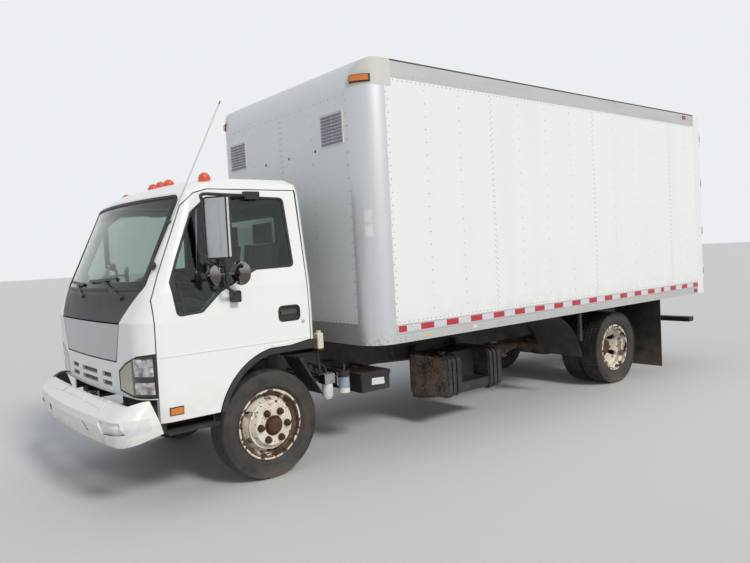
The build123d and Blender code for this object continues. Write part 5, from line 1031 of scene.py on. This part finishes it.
# Outlines and places on a door are given as (along, up)
DOOR_WINDOW = ((0.234, 1.575), (-0.078, 1.569), (-0.376, 1.43), (-0.521, 1.302), (-0.69, 1.29),
               (-0.722, 1.511), (-0.658, 1.671), (-0.522, 1.972), (-0.395, 2.077), (-0.174, 2.087),
               (0.216, 2.076))
QUARTER_STRIP = ((-0.688, 1.292), (-0.722, 1.511), (-0.7, 1.57))
HANDLE_RIM = ((0.08, 1.172), (0.25, 1.172), (0.25, 1.271), (0.08, 1.271))
CREASE = [(-0.838 + 0.0293 * k, 1.026) for k in range(41)]
HANDLE_LIP = [(y, 0.998 if y < 0.09 else 0.998 + (y - 0.09) * 0.08) for y in (0.0258 * k for k in range(14))]
DOOR_LOCK = (0.28, 1.15)
DOOR_MARKER_PLACE = (-0.743, 0.66)
DOOR_MARKER = ((0.096, 0.056, 0.004, (4, 3)), (0.084, 0.044, 0.01, (4, 3)))
for name, side in (("left_door", 1), ("right_door", -1)):
    leaf = Skin(name)
    trim = Work()
    x = side * BESIDE_X
    ahead = (-side, 0, 0)
    trim.bead(leaf, [(x, *p) for p in grown(rounded(DOOR_WINDOW, 0.03), 0.003)], ahead, 0.018, 0.0035)
    quarter = [Vector(p) for p in QUARTER_STRIP]
    line = [quarter[0]] + [p for a, b in zip(quarter, quarter[1:]) for p in between(a, b, 0.04) + [b]]
    pane_skin = Skin(name, f"{name}_glass")
    trim.bead(pane_skin, [(x, p.x + 0.016, p.y) for p in line], ahead, 0.04, 0.004, closed=False)
    trim.bead(leaf, [(x, *p) for p in grown(rounded(HANDLE_RIM, 0.03, 0.03), 0.004)], ahead, 0.014, 0.004)
    trim.bead(leaf, [(x, *p) for p in CREASE], ahead, 0.01, 0.0024, 3, closed=False)
    trim.bead(leaf, [(x, *p) for p in HANDLE_LIP], ahead, 0.016, 0.0035, 3, closed=False)
    trim.boss(leaf, (x, *DOOR_LOCK), ahead, 0.014, 0.003, 0.0015, 1, 16)
    fit_lamp(trim, leaf, (x, *DOOR_MARKER_PLACE), (0, 1), ahead, 2, DOOR_MARKER)
    trim.done(f"{name}_trim", name, seal_black, trim_bright, amber_lens, cab_lined)

# Bumper: a moulded shell, painted white, with raised tread strips on its top and a blank label on its end.
# Two brackets bolt it to the ends of the ladder frame, and it stays there when the cab tilts.
bumper_white = Finish("bumper_white", (0.82, 0.81, 0.77), 0.36, Coat_Weight=0.25)
bumper_white.mottle(6.0, 7.0, 0.45, 0.8, 0.25, (0.62, 0.57, 0.48), 0.6)
low_down = bumper_white.fall(bumper_white.z, 0.46, 0.56)
bumper_white.coat(low_down * bumper_white.cloud(12.0, 7.0, 0.35, 0.7) * 0.5, (0.4, 0.35, 0.28), 0.8)
bumper_white.coat(bumper_white.cloud(70.0, 4.0, 0.74, 0.78, seed=6.0), (0.16, 0.1, 0.07), 0.8)
behind = bumper_white.fall(bumper_white.y, -0.86, -0.85)
bumper_white.coat(bumper_white.inward((0.0, -0.5, 0.6)) * behind, (0.12, 0.11, 0.1), 0.8)
bumper_white = bumper_white.done()
paint(bumper_white, "front_bumper")
bumper_skin = Skin("front_bumper")
treads = Work()
for x_low, x_high in ((-0.62, -0.28), (-0.22, 0.22), (0.28, 0.62)):
    for y_low, y_high in ((-1.118, -1.078), (-1.068, -1.03)):
        corners = ((x_low, y_low, 1.0), (x_high, y_low, 1.0), (x_high, y_high, 1.0), (x_low, y_high, 1.0))
        treads.patch(bumper_skin, corners, (0, 0, -1), 0.003, (10, 2))
BUMPER_LABEL = ((-1.092, 0.65), (-0.936, 0.648), (-0.92, 0.568), (-1.078, 0.542))
treads.patch(bumper_skin, [(1.2, *corner) for corner in BUMPER_LABEL], (-1, 0, 0), 0.002, (14, 8), 1)
treads.done("bumper_treads", "chassis", bumper_white, plate_white)

# Headlamps: a clear moulded lens over two bright chambers, with the olive turn signal inboard of a black bar.
# A black rim holds the lens in the cab's corner.
lamp = Finish("headlamp_glass", (0.03, 0.03, 0.031), 0.16, 0.3, Coat_Weight=1.0, Coat_Roughness=0.03)
lamp_side = abs(lamp.x)
ribs = lamp.math("SINE", lamp_side * 480.0)
signal = lamp.fall(lamp_side, 0.806, 0.81)
signal_hue = lamp.tone(lamp.rise(lamp.z, 0.79, 0.93), (0.5, 0.48, 0.36), (0.3, 0.27, 0.13))
lamp.coat(signal, lamp.tone(ribs * 0.25 + 0.25, signal_hue, (0.6, 0.58, 0.46)), 0.25, 0.2)
lamp.relief = ribs * signal * 0.0008
paint(lamp.done(), "headlamps")
chamber = Finish("lamp_chamber", (0.6, 0.6, 0.59), 0.1, 0.8, Coat_Weight=1.0, Coat_Roughness=0.03)
# Painted reflections: dark and near white soft patches in the chambers' chrome stand for what the reflectors
# mirror.
chamber.mottle(22.0, 3.0, 0.42, 0.66, 0.85, (0.16, 0.155, 0.15), 0.15)
chamber.mottle(24.0, 3.0, 0.6, 0.7, 0.7, (0.5, 0.2, 0.06), 0.2, seed=8.0)
chamber.coat(chamber.cloud(20.0, 4.0, 0.56, 0.62, seed=2.0), (0.86, 0.86, 0.85), 0.15)
chamber.relief = chamber.noise(18.0, 3.0) * 0.012
chamber = chamber.done()
LAMP_OUTLINE = ((0.605, 0.786), (0.605, 0.924), (0.72, 0.985), (0.88, 1.04), (0.972, 1.052), (0.972, 0.764),
                (0.8, 0.764))
lamp_skin = Skin("headlamps")
for side, name in ((1, "left"), (-1, "right")):
    fittings = Work()
    for z, height in ((0.962, 0.115), (0.826, 0.078)):
        sheet = upright((side * 1.098, -1.17, z), (0.8, 0.6 * side), 0.15, height)
        fittings.patch(lamp_skin, sheet, (-0.6 * side, 0.8, 0), 0.002, (12, 6), 1)
    rim = grown(rounded(LAMP_OUTLINE, 0.015), -0.005)
    fittings.bead(lamp_skin, [(side * p.x, AHEAD_Y, p.y) for p in rim], (0, 1, 0), 0.012, 0.003)
    fittings.done(f"{name}_lamp_fittings", "cab", seal_black, chamber)

# Roof lamps: five orange red domes on black bases, and the aerial: a pale rod on a black ball and clip.
# Both are screwed to the cab.
dome_red = Finish("dome_red", (0.72, 0.09, 0.02), 0.22, Coat_Weight=0.5, Subsurface_Weight=0.25)
dome_red.mottle(40.0, 4.0, 0.45, 0.75, 0.35, (0.5, 0.08, 0.03), 0.35)
dome_red.relief = dome_red.math("SINE", dome_red.x * 700.0) * 0.0003
paint(dome_red.done(), "roof_lamps")
aerial = Finish("aerial_rod", (0.5, 0.5, 0.49), 0.35, 0.4)
grip = aerial.math("MAXIMUM", aerial.fall(aerial.z, 1.655, 1.657), aerial.rise(aerial.z, 2.732, 2.734))
grip = aerial.math("MAXIMUM", grip, aerial.within(aerial.z, 1.9, 1.924, 0.001))
aerial.coat(grip, (0.02, 0.02, 0.021), 0.5, 0.0)
aerial.mottle(50.0, 4.0, 0.55, 0.7, 0.3, (0.35, 0.34, 0.31), 0.7)
paint(aerial.done(), "antenna")

# Mirrors: a tall head and two round ones on bent black tubes that are footed on the door.
# The tall head has a bowed satin back, a white edge and its glass behind, and the round ones are chromed,
# with a painted reflection that is lighter towards their tops.
# Each head is clamped to its tube.
mirror_black = Finish("mirror_black", (0.018, 0.018, 0.019), 0.4)
mirror_black.mottle(20.0, 6.0, 0.5, 0.75, 0.3, (0.1, 0.095, 0.085), 0.7)
# Painted reflection: each round mirror's chrome face is dark below and lighter towards its top.
for x, y, z, radius in ((1.12, -0.28, 1.546, 0.088), (1.092, -0.47, 1.54, 0.076)):
    reach = (abs(mirror_black.x) - x) ** 2.0 + (mirror_black.y - y) ** 2.0 + (mirror_black.z - z) ** 2.0
    upper_reflection = mirror_black.rise(mirror_black.z, z - 0.01, z + 0.055)
    painted_chrome_reflection = mirror_black.tone(upper_reflection, (0.16, 0.14, 0.128), (0.36, 0.35, 0.34))
    mirror_black.coat(reach < radius ** 2, painted_chrome_reflection, 0.08, 1.0)
mirror_black = mirror_black.done()
paint(mirror_black, "left_mirror", "right_mirror")
mirror_satin = Finish("mirror_satin", (0.5, 0.51, 0.52), 0.34, 0.75)
mirror_satin.coat(mirror_satin.noise(80.0, 3.0, (1.0, 1.0, 0.05)) * 0.5, (0.4, 0.41, 0.42), 0.42)
mirror_satin.mottle(16.0, 7.0, 0.55, 0.75, 0.3, (0.3, 0.29, 0.27), 0.6)
mirror_satin = mirror_satin.done()
mirror_glass = mottled("mirror_glass", (0.86, 0.88, 0.88), 0.02,
                       9.0, 6.0, 0.5, 0.8, 0.3, (0.7, 0.7, 0.68), 0.12, metallic=1.0)
rim_white = mottled("rim_white", (0.7, 0.7, 0.68), 0.4,
                    40.0, 4.0, 0.5, 0.7, 0.4, (0.45, 0.43, 0.4), 0.6)
HEAD_MIDDLE = (1.122, -0.425)
HEAD_TURN = math.radians(30)
HEAD_LOW_Z = 1.65
HEAD_HEIGHT = 0.416
HEAD_EDGE = 0.01
UPPER_ARM = ((0.905, -0.05, 2.098), (0.98, -0.32, 2.094), (1.036, -0.507, 2.096), (1.0402, -0.492, 2.05),
             (1.0406, -0.492, 1.98))
BACK_SHEETS = (
    # start, stop, lift, finish
    (-0.088, 0.03, 0.0012, 1), (0.031, 0.074, 0.0012, 1), (0.086, 0.098, 0.0022, 3),
)


def head_plan(side, points, height):
    """Points given as (across, behind) from the middle of a mirror head, at their place."""
    across = Vector((side * math.cos(HEAD_TURN), math.sin(HEAD_TURN), 0))
    ahead = Vector((side * math.sin(HEAD_TURN), -math.cos(HEAD_TURN), 0))
    middle = Vector((side * HEAD_MIDDLE[0], HEAD_MIDDLE[1], height))
    return [middle + across * x - ahead * y for x, y in points]


def bow(start, stop, lift):
    """The bowed line of a head's back, moved out by the lift."""
    return [(x, -0.03 - lift + 1.6 * x * x) for x in (start + (stop - start) * k / 12 for k in range(13))]


for name, side in (("left", 1), ("right", -1)):
    head = Work()
    case = bow(-0.1, 0.1, 0.0) + [(0.1, 0.008), (0.094, 0.014), (-0.094, 0.014), (-0.1, 0.008)]
    head.plate(head_plan(side, case, HEAD_LOW_Z), (0, 0, HEAD_HEIGHT))
    inner_height = (0, 0, HEAD_HEIGHT - 2 * HEAD_EDGE)
    for start, stop, lift, finish in BACK_SHEETS:
        sheet = bow(start, stop, lift) + bow(start, stop, -0.001)[::-1]
        head.plate(head_plan(side, sheet, HEAD_LOW_Z + HEAD_EDGE), inner_height, finish)
    pane = ((-0.09, 0.012), (0.09, 0.012), (0.09, 0.0148), (-0.09, 0.0148))
    head.plate(head_plan(side, pane, HEAD_LOW_Z + HEAD_EDGE), inner_height, 2)
    head.sweep(bent([(side * x, y, z) for x, y, z in UPPER_ARM]), 0.0116)
    for z in (1.69, 2.026):
        head.sweep([(side * 1.042, -0.492, z), (side * 1.095, -0.445, z)], 0.008, 10)
    for inner_x, outer_x, y, z in ((0.872, 0.932, (-0.11, 0.01), (2.072, 2.126)),
                                   (1.08, 1.13, (-0.44, -0.395), (1.6, 1.655))):
        low_x, high_x = sorted((side * inner_x, side * outer_x))
        head.box((low_x, y[0], z[0]), (high_x, y[1], z[1]))
    head.done(f"{name}_mirror_head", f"{name}_door", mirror_black, mirror_satin, mirror_glass,
                      rim_white, bevel=0.002)

# Inside: a moulded dashboard and a floor mat in grained grey, and a steering wheel with a padded black rim.
# The dashboard is screwed to the bulkhead, the mat lies on the floor, and the wheel sits on its column.
trim_grey = Finish("trim_grey", (0.09, 0.09, 0.092), 0.6)
trim_grey.mottle(9.0, 6.0, 0.5, 0.8, 0.3, (0.15, 0.14, 0.13), 0.8)
trim_grey.relief = trim_grey.cells(260.0) * 0.0003
paint(trim_grey.done(), "dashboard", "cab_floor")
rim_black = Finish("rim_black", (0.02, 0.02, 0.02), 0.42)
rim_black.relief = rim_black.cells(400.0) * 0.0002
paint(rim_black.done(), "steering_wheel")

# Seats: foam cushions and backs in grey woven cloth, crowned, with sewn channels, on black boxes.
# The driver has one seat and the passengers share a wider bench. Each headrest stands on two bright rods.
seat_cloth = Finish("seat_cloth", (0.12, 0.125, 0.14), 0.9, Sheen_Weight=0.3)
seat_cloth.coat(seat_cloth.rise(seat_cloth.cells(420.0), 0.3, 0.7), (0.2, 0.21, 0.23))
seat_cloth.mottle(7.0, 6.0, 0.5, 0.8, 0.4, (0.085, 0.08, 0.075))
seat_cloth.relief = seat_cloth.cells(420.0) * 0.0005
seat_cloth = seat_cloth.done()


def pad(name, middle, half, turn, crown, channels):
    """A crowned pad about its middle, with sides that pull in between its corners and sewn channels."""
    work = Work()
    bmesh.ops.create_cube(work.mesh, size=2.0)
    bmesh.ops.subdivide_edges(work.mesh, edges=work.mesh.edges[:], cuts=26, use_grid_fill=True)
    place = Matrix.Translation(middle) @ Matrix.Rotation(turn, 4, "X")
    for vertex in work.mesh.verts:
        u, v, w = vertex.co
        flat = (1 - u ** 4) * (1 - v ** 4)
        sewn = sum(math.exp(-((u - channel) * half[0] / 0.011) ** 2) for channel in channels)
        lift = half[2] - crown * (1 - flat) - 0.012 * sewn * flat
        x = u * half[0] * (1 - 0.035 * (1 - v * v) - 0.03 * w ** 4)
        y = v * half[1] * (1 - 0.035 * (1 - u * u) - 0.03 * w ** 4)
        vertex.co = place @ Vector((x, y, lift * w if w > 0 else half[2] * 0.97 * w))
    made = work.done(name, "cab", seat_cloth, angle=180)
    rounds = made.modifiers.new("rounds", "SUBSURF")
    rounds.levels = rounds.render_levels = 1


SEATS = (
    # name, place across, width, channels, headrests
    ("driver", 0.42, 0.5, (-0.5, 0.5), (0.42,)),
    ("bench", -0.36, 0.78, (-0.66, -0.33, 0.0, 0.33, 0.66), (-0.555, -0.165)),
)
BACK_TURN = math.radians(81.3)
HEADREST_HALF = (0.118, 0.082, 0.036)
boxes = Work()
for name, x, width, channels, heads in SEATS:
    half = width / 2
    boxes.box((x - half + 0.025, -0.258, 1.011), (x + half - 0.025, 0.238, 1.207))
    pad(f"{name}_cushion", (x, -0.06, 1.267), (half - 0.004, 0.232, 0.06), 0.0, 0.03, channels)
    pad(f"{name}_back", (x, 0.247, 1.507), (half - 0.014, 0.255, 0.048), BACK_TURN, 0.026, channels)
    for k, head_x in enumerate(heads, 1):
        pad(f"{name}_headrest_{k}", (head_x, 0.3, 1.84), HEADREST_HALF, math.radians(90), 0.018, ())
        for rod_x in (head_x - 0.05, head_x + 0.05):
            boxes.sweep(((rod_x, 0.29, 1.73), (rod_x, 0.3, 1.79)), 0.006, 8, 1)
seat_boxes = boxes.done("seat_boxes", "cab", black_plastic, trim_bright, bevel=0.004)
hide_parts("seats")

# Stage: a plain pale floor, soft daylight from the left and above, and the camera at the photograph's place.
# None of it is part of the truck.
CAMERA_PLACE = (5.2614, -5.0635, 1.6393)
CAMERA_LENS = 32.184
CAMERA_AZIMUTH = math.radians(50.79)
CAMERA_TILT = math.radians(2.5)
CAMERA_ROLL = math.radians(-3.016)
camera_data = bpy.data.cameras.new("camera")
camera_data.sensor_width = 36.0
camera_data.lens = CAMERA_LENS
camera = placed("camera", camera_data)
level = Vector((math.cos(CAMERA_AZIMUTH), math.sin(CAMERA_AZIMUTH), 0))
back = Vector((math.sin(CAMERA_AZIMUTH) * math.cos(CAMERA_TILT),
               -math.cos(CAMERA_AZIMUTH) * math.cos(CAMERA_TILT), math.sin(CAMERA_TILT)))
upward = back.cross(level)
right = level * math.cos(CAMERA_ROLL) + upward * math.sin(CAMERA_ROLL)
over = upward * math.cos(CAMERA_ROLL) - level * math.sin(CAMERA_ROLL)
camera.matrix_world = Matrix.Translation(CAMERA_PLACE) @ Matrix((right, over, back)).transposed().to_4x4()
bpy.context.scene.camera = camera

REACH = 120
floor_mesh = bpy.data.meshes.new("floor")
floor_mesh.from_pydata([(-REACH, -REACH, 0), (REACH, -REACH, 0), (REACH, REACH, 0), (-REACH, REACH, 0)],
                       [], [(0, 1, 2, 3)])
floor_mesh.materials.append(Finish("floor_grey", (0.66, 0.655, 0.64), 0.8).done())
placed("floor", floor_mesh)

SUN_WAY = Vector((0.86, 0.02, 0.66))
sun_data = bpy.data.lights.new("sun", "SUN")
sun_data.energy = 1.9
sun_data.angle = math.radians(14)
sun_data.color = (1.0, 0.97, 0.92)
sun = placed("sun", sun_data)
sun.rotation_mode = "QUATERNION"
sun.rotation_quaternion = SUN_WAY.to_track_quat("Z", "Y")

SKY_LIGHT = (0.47, 0.5, 0.55, 1.0)
SKY_SEEN = (0.84, 0.86, 0.88, 1.0)
world = bpy.data.worlds.new("daylight")
world.use_nodes = True
bpy.context.scene.world = world
sky = Net(world.node_tree)
path = sky.node("ShaderNodeLightPath")
seen = sky.math("MAXIMUM", path, path.other("Is Glossy Ray"))
seen = sky.math("MAXIMUM", seen, path.other("Is Transmission Ray"))
shade = sky.node("ShaderNodeMix", {"data_type": "RGBA"}, {0: seen, 6: SKY_LIGHT, 7: SKY_SEEN}, 2)
world.node_tree.links.new(shade.socket, world.node_tree.nodes["Background"].inputs["Color"])
bpy.context.scene.view_settings.view_transform = "Standard"
